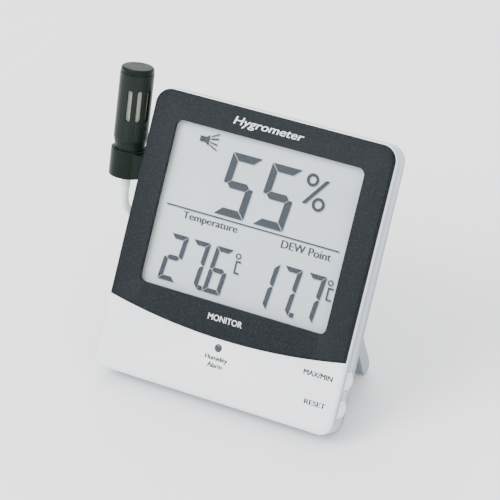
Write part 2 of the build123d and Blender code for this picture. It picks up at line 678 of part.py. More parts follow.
def key_board_rear():
    """Depth of the key board's rear face, which carries the switches."""
    plunger_tip = key_inner_face() - KEY_TRAVEL - PRESS_GAP
    return plunger_tip - PLUNGER_LENGTH - KEY_SWITCH_HEIGHT


def key_inner_face():
    """Depth of the rear keys' inner end at rest."""
    return BACK_INNER - KEY_GAP - KEY_FLANGE_THICKNESS - KEY_STEM


def key_board():
    """Small board behind the rear keys."""
    left, right = key_board_span()
    outline = panel(right - left, KEY_BOARD_HEIGHT, (left + right) / 2, KEY_ROW_Z)
    for x in key_post_places():
        outline -= Pos(x, KEY_ROW_Z) * Circle(KEY_SCREW_RADIUS + SCREW_HOLE_GAP)
    return slab(outline, key_board_rear() - KEY_BOARD_THICKNESS, key_board_rear())


def key_board_screws():
    """Two screws that hold the key board to the rear shell's posts."""
    screws = []
    front = key_board_rear() - KEY_BOARD_THICKNESS
    for x in key_post_places():
        head = depth_bar(KEY_SCREW_HEAD_RADIUS, front - KEY_SCREW_HEAD_HEIGHT, front, x, KEY_ROW_Z)
        screws.append(head + depth_bar(KEY_SCREW_RADIUS, front, front + KEY_SCREW_LENGTH, x, KEY_ROW_Z))
    return group(screws)


def key_switches():
    """One switch on the key board for each rear key."""
    switches = []
    rear = key_board_rear() + KEY_SWITCH_HEIGHT
    for x in key_places():
        body = slab(panel(KEY_SWITCH_SIZE, KEY_SWITCH_SIZE, x, KEY_ROW_Z), key_board_rear(), rear)
        switches.append(body + depth_bar(PLUNGER_RADIUS, rear, rear + PLUNGER_LENGTH, x, KEY_ROW_Z))
    return group(switches)


def rear_key(x):
    """Round rear key with a flange inside the housing."""
    key = depth_bar(KEY_RADIUS, key_inner_face(), HOUSING_DEPTH + KEY_PROUD, x, KEY_ROW_Z)
    key = fillet(key.faces().sort_by(Axis.Y)[-1].edges(), KEY_PROUD)
    flange_back = BACK_INNER - KEY_GAP
    flange_front = flange_back - KEY_FLANGE_THICKNESS
    return key + depth_bar(KEY_RADIUS + KEY_FLANGE, flange_front, flange_back, x, KEY_ROW_Z)


# ---- battery ----
def battery_cell():
    """One small cylindrical cell lying across the housing."""
    left = -BAY_LENGTH / 2 + SPRING_ROOM
    right = left + CELL_LENGTH
    cell = cross_bar(CELL_RADIUS, left, right, CELL_CENTRE_DEPTH, CELL_CENTRE_Z)
    return cell + cross_bar(CELL_NUB_RADIUS, right, right + CELL_NUB_LENGTH, CELL_CENTRE_DEPTH, CELL_CENTRE_Z)


def contact_plate(left, right):
    """A flat contact that stands against an end of the battery bay."""
    half = CONTACT_WIDTH / 2
    depth = (CELL_CENTRE_DEPTH - half, CELL_CENTRE_DEPTH + half)
    return block((left, right), depth, (CELL_CENTRE_Z - half, CELL_CENTRE_Z + half))


def battery_contact_plus():
    """Plate that the cell's nub presses on."""
    end = BAY_LENGTH / 2
    plate = contact_plate(end - CONTACT_THICKNESS, end)
    tip = end - CONTACT_ROOM
    return plate + cross_bar(CELL_NUB_RADIUS, tip, end - CONTACT_THICKNESS, CELL_CENTRE_DEPTH, CELL_CENTRE_Z)


def battery_contact_minus():
    """Plate that carries the battery spring."""
    end = -BAY_LENGTH / 2
    return contact_plate(end, end + CONTACT_THICKNESS)


def battery_spring():
    """Wire spring between its plate and the cell's flat end."""
    wire = SPRING_WIRE_RADIUS
    room = SPRING_ROOM - CONTACT_THICKNESS - 2 * wire
    path = Helix(room / SPRING_TURNS, room, SPRING_RADIUS)
    start = Plane(origin=path @ 0, z_dir=path % 0)
    coil = sweep(start * Circle(wire), path=path, is_frenet=True)
    left = -BAY_LENGTH / 2 + CONTACT_THICKNESS + wire
    return Pos(left, CELL_CENTRE_DEPTH, CELL_CENTRE_Z) * Rot(0, 90, 0) * coil


def battery_door():
    """Cover over the battery, flush with the back, with ribs to grip it by."""
    outline = panel(DOOR_LENGTH, DOOR_HEIGHT, 0, CELL_CENTRE_Z, DOOR_CORNER_RADIUS)
    door = slab(outline, DOOR_FRONT, HOUSING_DEPTH)
    for index in range(DOOR_GRIP_RIBS):
        x = DOOR_GRIP_X + index * DOOR_GRIP_PITCH
        groove = panel(DOOR_GRIP_WIDTH, DOOR_GRIP_LENGTH, x, CELL_CENTRE_Z)
        door -= slab(groove, HOUSING_DEPTH - DOOR_GRIP_DEPTH, 2 * HOUSING_DEPTH)
    return door


# ---- stand ----
def stand_reach():
    """Hinge to foot centre, so that the open foot touches the table with the slanted base."""
    lean = radians(LEAN)
    hinge_height = STAND_HINGE_Z * cos(lean) - (STAND_HINGE_DEPTH - BASE_TAPER_DEPTH) * sin(lean)
    return (hinge_height - STAND_FOOT_RADIUS) / cos(radians(STAND_OPEN_ANGLE - LEAN))


def stand_profile():
    """Side view of the closed stand: a round foot and a round hinge barrel with straight sides."""
    reach = stand_reach()
    slope = (STAND_FOOT_RADIUS - STAND_BARREL_RADIUS) / reach
    level = (1 - slope**2) ** 0.5
    corners = [
        (STAND_BARREL_RADIUS * level, STAND_BARREL_RADIUS * slope),
        (STAND_FOOT_RADIUS * level, -reach + STAND_FOOT_RADIUS * slope),
        (-STAND_FOOT_RADIUS * level, -reach + STAND_FOOT_RADIUS * slope),
        (-STAND_BARREL_RADIUS * level, STAND_BARREL_RADIUS * slope),
    ]
    leg = make_face(Polyline(*corners, close=True))
    return leg + Circle(STAND_BARREL_RADIUS) + Pos(0, -reach) * Circle(STAND_FOOT_RADIUS)


def across(profile, left, right):
    """A side view, drawn in Y and Z round the stand's hinge, given its width along X."""
    plane = Plane(origin=(left, 0, 0), x_dir=(0, 1, 0), z_dir=(1, 0, 0))
    return extrude(plane * profile, right - left)


def open_stand(shape):
    """A piece of the closed stand, turned open on its hinge."""
    return Pos(0, STAND_HINGE_DEPTH, STAND_HINGE_Z) * Rot(STAND_OPEN_ANGLE, 0, 0) * shape


def stand():
    """Wide plate with side walls and stop heels, hollow on the side that faces the housing."""
    half = STAND_WIDTH / 2
    leg = across(stand_profile(), -half, half)
    pocket_x = half - STAND_SIDE_WALL
    pocket_top = -STAND_POCKET_MARGIN
    pocket_base = -stand_reach() + STAND_POCKET_MARGIN
    skin_inner = STAND_BARREL_RADIUS - STAND_SKIN
    pocket_y = (-2 * STAND_FOOT_RADIUS, skin_inner)
    leg -= block((-pocket_x, pocket_x), pocket_y, (pocket_base, pocket_top))
    heel_angle = STAND_OPEN_ANGLE + heel_rest_angle()
    for index in range(HEEL_COUNT):
        x = HEEL_CENTRE_X * (2 * index - 1)
        heel_x = (x - HEEL_LENGTH / 2, x + HEEL_LENGTH / 2)
        heel = block(heel_x, (-HEEL_WIDTH / 2, HEEL_WIDTH / 2), (0, HEEL_RADIUS))
        leg += Rot(90 - heel_angle, 0, 0) * heel
    for side in (-1, 1):
        inner = side * (half - STAND_PIN_HOLD)
        leg -= cross_bar(STAND_PIN_RADIUS, min(inner, side * half), max(inner, side * half), 0, 0)
    return open_stand(leg)


def heel_rest_angle():
    """Angle of the heel above the straight-forward line when its corner meets the recess floor."""
    gap = STAND_HINGE_DEPTH - RECESS_FLOOR - STAND_PIN_GAP
    corner_angle = degrees(atan2((HEEL_REACH**2 - gap**2) ** 0.5, gap))
    return corner_angle + degrees(atan2(HEEL_WIDTH / 2, HEEL_RADIUS))


def stand_hinge_pins():
    """Two steel pins, tight in the stand and turning in the rear shell."""
    pins = []
    for side in (-1, 1):
        inner = side * (STAND_WIDTH / 2 - STAND_PIN_HOLD)
        outer = side * (STAND_WIDTH / 2 + STAND_PIN_REACH)
        pins.append(open_stand(cross_bar(STAND_PIN_RADIUS, min(inner, outer), max(inner, outer), 0, 0)))
    return group(pins)


# ---- probe holder ----
def on_probe_axis(shape):
    """A piece drawn on the probe's own axis, put in the holder's place at its lean."""
    return Pos(HOLDER_X, HOLDER_PIVOT_DEPTH, HOLDER_PIVOT_Z) * Rot(HOLDER_LEAN, 0, 0) * shape


def holder_bearing():
    """The hole in the left side, half in each shell, that the holder's pivot turns in."""
    inner = -HALF_WIDTH + WALL
    outer = -HALF_WIDTH - WALL
    hole = cross_bar(PIVOT_RADIUS + PIVOT_GAP, outer, inner, HOLDER_PIVOT_DEPTH, HOLDER_PIVOT_Z)
    room = PIVOT_HEAD_RADIUS + PIVOT_HEAD_GAP
    return hole + cross_bar(room, inner, inner + 2 * WALL, HOLDER_PIVOT_DEPTH, HOLDER_PIVOT_Z)


def probe_holder():
    """Collar that the probe stands in, with a block that reaches the housing's side."""
    arm_end = HOLDER_GAP_X - HOLDER_X
    arm = block((0, arm_end), (-ARM_HALF_DEPTH, ARM_HALF_DEPTH), (ARM_BASE, ARM_TOP))
    collar = disc(COLLAR_RADIUS, COLLAR_BASE, COLLAR_TOP)
    holder = fillet(collar.edges().filter_by(GeomType.CIRCLE), COLLAR_EDGE_RADIUS) + arm
    holder -= disc(NECK_RADIUS + NECK_GAP, COLLAR_BASE + COLLAR_FLOOR, 2 * COLLAR_TOP)
    holder -= disc(TAIL_RADIUS + CABLE_SLOT_GAP, 2 * COLLAR_BASE, 0)
    half_slot = CABLE_RADIUS + CABLE_SLOT_GAP
    holder -= block((-half_slot, half_slot), (0, 2 * COLLAR_RADIUS), (2 * COLLAR_BASE, 2 * COLLAR_TOP))
    pivot_bore = cross_bar(PIVOT_RADIUS, arm_end - PIVOT_HOLD, arm_end, 0, 0)
    return on_probe_axis(holder - pivot_bore)


def holder_pivot():
    """Pivot that is tight in the holder and turns in the housing's side."""
    inner_wall = -HALF_WIDTH + WALL
    start = HOLDER_GAP_X - PIVOT_HOLD
    head_start = inner_wall + PIVOT_END_GAP
    head_end = head_start + PIVOT_HEAD_THICKNESS
    shaft = cross_bar(PIVOT_RADIUS, start, head_start, HOLDER_PIVOT_DEPTH, HOLDER_PIVOT_Z)
    return shaft + cross_bar(PIVOT_HEAD_RADIUS, head_start, head_end, HOLDER_PIVOT_DEPTH, HOLDER_PIVOT_Z)


# ---- probe ----
def probe_cap():
    """Slotted barrel that narrows at its lower end to the neck's size."""
    shoulder_height = SHOULDER_TOP - SHOULDER_BASE
    cone = Cone(NECK_RADIUS, BARREL_RADIUS, shoulder_height)
    shoulder = Pos(0, 0, SHOULDER_BASE + shoulder_height / 2) * cone
    cap = shoulder + disc(BARREL_RADIUS, SHOULDER_TOP, BARREL_TOP)
    spigot_top = SHOULDER_BASE + SPIGOT_LENGTH
    cap -= disc(NECK_RADIUS - SPIGOT_WALL, SHOULDER_BASE, spigot_top)
    cap -= disc(BARREL_RADIUS - BARREL_WALL, spigot_top, BARREL_TOP)
    slot_half = SLOT_WIDTH / 2
    straight = SLOT_LENGTH - SLOT_WIDTH
    low = SLOT_BASE + slot_half
    profile = panel(SLOT_WIDTH, straight, 0, low + straight / 2)
    profile += Pos(0, low) * Circle(slot_half)
    profile += Pos(0, low + straight) * Circle(slot_half)
    slot = slab(profile, -2 * BARREL_RADIUS, 0)
    for opposite in range(SLOT_GROUPS):
        for index in range(SLOTS_IN_GROUP):
            turn = SLOT_FIRST_ANGLE + index * SLOT_PITCH_ANGLE + opposite * 360 / SLOT_GROUPS
            cap -= Rot(0, 0, turn) * slot
    return on_probe_axis(cap)


def probe_top():
    """Plug that closes the barrel, with a rounded edge."""
    top = disc(PROBE_TOP_RADIUS, BARREL_TOP, PROBE_TOP)
    top = fillet(top.edges().filter_by(GeomType.CIRCLE).sort_by(Axis.Z)[-1], PROBE_TOP_EDGE)
    return on_probe_axis(top + disc(BARREL_RADIUS - BARREL_WALL, BARREL_TOP - PROBE_TOP_SPIGOT, BARREL_TOP))


def probe_body():
    """Neck that stands in the holder's collar, with a spigot for the barrel."""
    body = disc(NECK_RADIUS, NECK_BASE, SHOULDER_BASE)
    body += disc(NECK_RADIUS - SPIGOT_WALL, SHOULDER_BASE, SHOULDER_BASE + SPIGOT_LENGTH)
    body -= disc(NECK_RADIUS - SPIGOT_WALL - NECK_WALL, NECK_BASE + NECK_FLOOR, 2 * SHOULDER_TOP)
    return on_probe_axis(body - disc(TAIL_RADIUS, 2 * NECK_BASE, SHOULDER_BASE))


def filter_sleeve():
    """Pale filter tube that shows through the slots."""
    outer = BARREL_RADIUS - BARREL_WALL - SLEEVE_GAP
    low = SHOULDER_BASE + SPIGOT_LENGTH
    return on_probe_axis(tube(outer, outer - SLEEVE_WALL, low, BARREL_TOP - PROBE_TOP_SPIGOT))


def sensor_board():
    """Narrow board that carries the sensors inside the filter."""
    half = SENSOR_BOARD_WIDTH / 2
    thick = SENSOR_BOARD_THICKNESS / 2
    return on_probe_axis(block((-half, half), (-thick, thick), (SENSOR_BOARD_BASE, SENSOR_BOARD_TOP)))


def humidity_sensor():
    """Flat humidity sensor on the front of its board."""
    half = SENSOR_WIDTH / 2
    front = -SENSOR_BOARD_THICKNESS / 2
    low = SENSOR_BOARD_TOP - SENSOR_HEIGHT
    return on_probe_axis(block((-half, half), (front - SENSOR_THICKNESS, front), (low, SENSOR_BOARD_TOP)))


def temperature_sensor():
    """Small glass bead on the back of the sensor board."""
    low = SENSOR_BOARD_TOP - SENSOR_HEIGHT
    bead = Pos(0, SENSOR_BOARD_THICKNESS / 2 + BEAD_RADIUS, low) * Sphere(BEAD_RADIUS)
    return on_probe_axis(bead)


def probe_tail():
    """Soft sleeve on the cable where it leaves the probe."""
    head_base = NECK_BASE + NECK_FLOOR
    head = disc(TAIL_HEAD_RADIUS, head_base, head_base + TAIL_HEAD_HEIGHT)
    return on_probe_axis(head + disc(TAIL_RADIUS, TAIL_END, head_base))


def cable_gland():
    """Soft gland in the back, tapering along the cable."""
    flange = depth_bar(GLAND_FLANGE_RADIUS, BACK_INNER - GLAND_FLANGE_HEIGHT, BACK_INNER, GLAND_X, GLAND_Z)
    throat = depth_bar(GLAND_RADIUS, BACK_INNER, HOUSING_DEPTH, GLAND_X, GLAND_Z)
    taper = Cone(GLAND_RADIUS, GLAND_TAIL_RADIUS, GLAND_TAIL_LENGTH)
    taper = Pos(GLAND_X, HOUSING_DEPTH + GLAND_TAIL_LENGTH / 2, GLAND_Z) * Rot(-90, 0, 0) * taper
    return flange + throat + taper


# ---- the whole ----
def upright_pieces():
    """Every piece but the cable, in the housing's own frame."""
    pieces = {
        "front_shell": front_shell(),
        "bezel_plate": bezel_plate(),
        "rear_shell": rear_shell(),
        "case_screws": case_screws(),
        "display_lens": display_lens(),
        "lcd_polariser": display_layer(LENS_BACK, GLASS_FRONT),
        "lcd_front_glass": display_layer(GLASS_FRONT, GLASS_MIDDLE),
        "lcd_rear_glass": display_layer(GLASS_MIDDLE, GLASS_BACK, CONTACT_LEDGE),
        "lcd_reflector": display_layer(GLASS_BACK, LCD_BACK, CONTACT_LEDGE),
        "lcd_frame": lcd_frame(),
        "zebra_strip": zebra_strip(),
        "main_board": main_board(),
        "chip_blob": chip_blob(),
        "crystal": crystal(),
        "buzzer": buzzer(),
        "alarm_lamp": alarm_lamp(),
        "side_switches": side_switches(),
        "key_board": key_board(),
        "key_board_screws": key_board_screws(),
        "key_switches": key_switches(),
        "battery_cell": battery_cell(),
        "battery_contact_plus": battery_contact_plus(),
        "battery_contact_minus": battery_contact_minus(),
        "battery_spring": battery_spring(),
        "battery_door": battery_door(),
        "stand": stand(),
        "stand_hinge_pins": stand_hinge_pins(),
        "probe_holder": probe_holder(),
        "holder_pivot": holder_pivot(),
        "probe_cap": probe_cap(),
        "probe_top": probe_top(),
        "probe_body": probe_body(),
        "filter_sleeve": filter_sleeve(),
        "sensor_board": sensor_board(),
        "humidity_sensor": humidity_sensor(),
        "temperature_sensor": temperature_sensor(),
        "probe_tail": probe_tail(),
        "cable_gland": cable_gland(),
    }
    for name, height in SIDE_BUTTON_HEIGHTS.items():
        pieces[name] = side_button(height)
    for name, x in zip(KEY_NAMES, key_places()):
        pieces[name] = rear_key(x)
    return pieces


def lean_back(shape):
    """A piece of the housing's own frame, leaned back until its slanted base lies on the table."""
    return Pos(0, 0, BASE_TAPER_DEPTH * sin(radians(LEAN))) * Rot(-LEAN, 0, 0) * shape


# ---- cable ----
def cable_tube(points):
    """Cable along straight runs joined by arcs as large as the shorter run beside each allows."""
    points = [Vector(*point) for point in points]
    runs = [end - start for start, end in zip(points, points[1:])]
    path = []
    radii = []
    start = points[0]
    for corner, before, after in zip(points[1:], runs, runs[1:]):
        setback = CABLE_ARC_SHARE * min(before.length, after.length)
        radii.append(round(setback / tan(radians(before.get_angle(after)) / 2), 1))
        arc_start = corner - before.normalized() * setback
        arc_end = corner + after.normalized() * setback
        path += [Line(start, arc_start), TangentArc(arc_start, arc_end, tangent=before.normalized())]
        start = arc_end
    route = Wire(path + [Line(start, points[-1])])
    tube_solid = sweep(Plane(origin=points[0], z_dir=runs[0]) * Circle(CABLE_RADIUS), path=route)
    fill = tube_solid.volume / (pi * CABLE_RADIUS**2 * route.length)
    print("cable radii", radii, "length", round(route.length, 1), "volume share", round(fill, 3))
    return tube_solid


def cable_coil():
    """The put-away length: one closed ring of the coil's outer shape, lying on the table."""
    outer = COIL_RADIUS + COIL_WIDTH / 2
    ring = Cylinder(outer, COIL_HEIGHT) - Cylinder(outer - COIL_WIDTH, COIL_HEIGHT)
    return Pos(*COIL_CENTRE, COIL_HEIGHT / 2) * ring


def cable_pieces():
    """The cable from the probe to the coil, the coil, and on from it to the gland."""
    start = TAIL_END - TAIL_TO_CABLE
    tail = lean_back(on_probe_axis(Pos(0, 0, start))).position
    below_tail = lean_back(on_probe_axis(Pos(0, 0, start - PROBE_EXIT_RUN))).position
    gland_end = HOUSING_DEPTH + GLAND_TAIL_LENGTH
    gland = lean_back(Pos(GLAND_X, gland_end, GLAND_Z)).position
    behind_gland = lean_back(Pos(GLAND_X, gland_end + GLAND_EXIT_RUN, GLAND_Z)).position
    return {
        "cable_lead_probe": cable_tube([tail, below_tail] + PROBE_LEAD_ROUTE),
        "cable_coil": cable_coil(),
        "cable_lead_housing": cable_tube([gland, behind_gland] + GLAND_LEAD_ROUTE),
    }


def main():
    """Build every piece and write one STEP file for each.

    The origin is on the table, under the middle of the whole without its cable.
    """
    os.makedirs("parts", exist_ok=True)
    pieces = {name: lean_back(piece) for name, piece in upright_pieces().items()}
    middle = group(pieces.values()).bounding_box().center()
    print("origin", middle.X, middle.Y)
    pieces |= cable_pieces()
    for name, piece in pieces.items():
        export_step(Pos(-middle.X, -middle.Y) * piece, f"parts/{name}.step")


if __name__ == "__main__":
    main()
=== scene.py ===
"""Looks of a desk hygrometer with an LCD, a lift-out probe on a cable and a fold-out stand."""
import json
import logging
import math
from dataclasses import dataclass
from enum import Enum
from typing import Union

import bpy
import numpy as np
from mathutils import Matrix, Vector


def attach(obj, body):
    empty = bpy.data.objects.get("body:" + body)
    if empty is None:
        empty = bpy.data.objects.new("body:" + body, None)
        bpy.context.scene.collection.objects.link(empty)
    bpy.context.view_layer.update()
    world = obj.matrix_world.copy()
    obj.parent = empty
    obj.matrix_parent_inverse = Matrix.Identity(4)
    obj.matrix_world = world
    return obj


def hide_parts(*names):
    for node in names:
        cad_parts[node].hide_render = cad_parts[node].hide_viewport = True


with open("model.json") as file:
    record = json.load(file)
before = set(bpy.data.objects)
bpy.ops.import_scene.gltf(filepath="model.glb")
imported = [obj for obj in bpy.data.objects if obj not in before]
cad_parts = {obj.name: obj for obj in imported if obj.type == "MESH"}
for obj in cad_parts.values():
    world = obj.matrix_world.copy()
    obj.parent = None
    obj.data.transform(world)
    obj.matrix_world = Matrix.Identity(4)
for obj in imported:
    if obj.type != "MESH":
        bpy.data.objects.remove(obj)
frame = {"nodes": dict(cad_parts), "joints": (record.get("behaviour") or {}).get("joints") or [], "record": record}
LOG = logging.getLogger("hygrometer")
MM = 0.001
Feed = Union[bpy.types.NodeSocket, float, tuple]

# ---- the housing's own frame: X right, Y from the front face back, Z up its face ----
LEAN = math.radians(30.0)
SIDE_X = -49.5
PIVOT_DEPTH = 9.0
PIVOT_HEIGHT = 77.0
PROBE_X = -58.45
PROBE_LEAN = math.radians(16.0)
SEAM_DEPTH = 8.2
BEZEL_FRONT = 0.0
PANEL_FRONT = 0.7
BACK_DEPTH = 20.0
LENS_BACK = 3.0
PRINT_THICKNESS = 0.04
SECOND_STRIKE = 0.004
SEGMENT_THICKNESS = 0.05
SEGMENT_LIFT = 0.06
INK_DEPTH = LENS_BACK - SEGMENT_LIFT
SHADOW_LIFT = 0.02
SHADOW_THICKNESS = 0.01
SHADOW_OFFSET = (0.45, -0.4)

# ---- the camera ----
CAMERA_AIM = (2.47, 0.0, 58.5)
CAMERA_AZIMUTH = math.radians(26.98)
CAMERA_ELEVATION = math.radians(33.44)
CAMERA_ROLL = math.radians(0.47)
CAMERA_DISTANCE = 889.3
CAMERA_LENS = 174.2

# ---- the display ----
RING_STEPS = 28
DISPLAY_SLANT = 0.1
SEGMENT_GAP = 0.35
BIG_DIGIT = (12.4, 23.9, 2.9)
SMALL_DIGIT = (7.4, 18.0, 1.85)
BIG_BASE = 67.8
SMALL_BASE = 38.4

# ---- the cable: its route as the part's source has it, from the lower front edge, above the table ----
CABLE_DIAMETER = 3.0
PROBE_LEAD = [
    (-57.8, 44.0, 48.3),
    (-55.6, 49.6, 41.5),
    (-54.3, 54.5, 30.5),
    (-53.4, 58.5, 19.0),
    (-52.6, 63.5, 9.5),
    (-51.2, 72.0, 3.9),
]
GLAND_LEAD = [
    (-35.5, 74.4, 10.5),
    (-37.4, 75.2, 22.5),
    (-37.5, 75.8, 36.5),
    (-37.2, 74.0, 50.3),
]
COIL_CENTRE = (-32.5, 92.0)
COIL_RADIUS = 18.0
POINTS_PER_TURN = 16


# ---- places ----
@dataclass(frozen=True)
class HousingFrame:
    """The housing's leaned frame, in which its pieces are drawn in millimetres.

    Args:
        matrix: takes a point of the housing's frame in millimetres to the row frame in metres.
    """

    matrix: Matrix

    @classmethod
    def from_joint(cls, joints: list) -> "HousingFrame":
        """Finds the frame from the probe holder's pivot, which lies in the housing's left side.

        Args:
            joints: the row's joints.

        Returns:
            The frame.
        """
        pivot = next(joint for joint in joints if joint["name"] == "holder_swivel")
        turn = Matrix.Rotation(-LEAN, 4, "X") @ Matrix.Scale(MM, 4)
        offset = Vector(pivot["pos_m"]) - turn @ Vector((SIDE_X, PIVOT_DEPTH, PIVOT_HEIGHT))
        return cls(Matrix.Translation(offset) @ turn)

    def point(self, x: float, y: float, z: float) -> Vector:
        """A point of the housing's frame, in the row frame."""
        return self.matrix @ Vector((x, y, z))

    def table_point(self, x: float, y: float, z: float) -> Vector:
        """A point measured level from the housing's lower front edge, above the table.

        Args:
            x: across.
            y: back.
            z: up from the table.

        Returns:
            The point in the row frame.
        """
        edge = self.point(0.0, 0.0, 0.0)
        return Vector((edge.x + x * MM, edge.y + y * MM, z * MM))


# ---- shader building ----
@dataclass
class Shader:
    """A node tree that is filled in one call at a time."""

    tree: bpy.types.NodeTree

    def add(self, kind: str, **settings) -> bpy.types.Node:
        """Adds a node and sets its own properties.

        Args:
            kind: the node's type.
            settings: its own properties.

        Returns:
            The node.
        """
        node = self.tree.nodes.new(kind)
        for name, value in settings.items():
            setattr(node, name, value)
        return node

    def feed(self, node: bpy.types.Node, **sockets: Feed) -> bpy.types.Node:
        """Fills a node's inputs, by name, with sockets or plain values.

        Args:
            node: the node to fill.
            sockets: what goes into each input.

        Returns:
            The same node.
        """
        for name, value in sockets.items():
            self.plug(node.inputs[name.replace("_", " ")], value)
        return node

    def plug(self, socket: bpy.types.NodeSocket, value: Feed) -> None:
        """Links a socket, or sets its value.

        Args:
            socket: the input.
            value: what goes into it.
        """
        if isinstance(value, bpy.types.NodeSocket):
            self.tree.links.new(value, socket)
        else:
            socket.default_value = value

    def math(self, operation: str, first: Feed, second: Feed = 0.0) -> bpy.types.NodeSocket:
        """One sum, product or comparison.

        Args:
            operation: what is worked out.
            first: the first number.
            second: the second number.

        Returns:
            The result.
        """
        node = self.add("ShaderNodeMath", operation=operation)
        for socket, value in zip(node.inputs, (first, second)):
            self.plug(socket, value)
        return node.outputs[0]

    def fade(self, value: Feed, start: float, end: float) -> bpy.types.NodeSocket:
        """0 before start, 1 past end, smooth between.

        Args:
            value: what is compared.
            start: where it begins to rise.
            end: where it has risen.

        Returns:
            The faded value.
        """
        node = self.add("ShaderNodeMapRange", interpolation_type="SMOOTHSTEP")
        self.feed(node, Value=value, From_Min=start, From_Max=end)
        return node.outputs["Result"]

    def mix(self, factor: Feed, first: Feed, second: Feed, mode: str = "MIX") -> bpy.types.NodeSocket:
        """Mixes two colours.

        Args:
            factor: how much of the second.
            first: one colour.
            second: the other colour.
            mode: how they blend.

        Returns:
            The mixed colour.
        """
        node = self.add("ShaderNodeMix", data_type="RGBA", blend_type=mode)
        for index, value in ((0, factor), (6, first), (7, second)):
            self.plug(node.inputs[index], value)
        return node.outputs[2]

    def noise(self, vector: Feed, scale: float, detail: float = 3.0) -> bpy.types.NodeSocket:
        """A grey noise.

        Args:
            vector: where it is read.
            scale: how fine it is.
            detail: how many layers it has.

        Returns:
            The noise.
        """
        node = self.add("ShaderNodeTexNoise")
        self.feed(node, Vector=vector, Scale=scale, Detail=detail)
        return node.outputs["Fac"]


def effect_group(name: str, inputs: dict, outputs: dict) -> tuple:
    """Starts a shared effect: a node group with typed inputs and outputs.

    Args:
        name: the group's name.
        inputs: socket name to (socket kind, default).
        outputs: socket name to socket kind.

    Returns:
        The group's Shader, its input sockets and its output node.
    """
    tree = bpy.data.node_groups.new(name, "ShaderNodeTree")
    for socket, (kind, default) in inputs.items():
        made = tree.interface.new_socket(socket, in_out="INPUT", socket_type=kind)
        made.default_value = default
    for socket, kind in outputs.items():
        tree.interface.new_socket(socket, in_out="OUTPUT", socket_type=kind)
    shader = Shader(tree)
    source = shader.add("NodeGroupInput")
    return shader, source.outputs, shader.add("NodeGroupOutput")


def object_point(shader: Shader) -> bpy.types.NodeSocket:
    """The shaded point in the row frame, in metres."""
    return shader.add("ShaderNodeTexCoord").outputs["Object"]


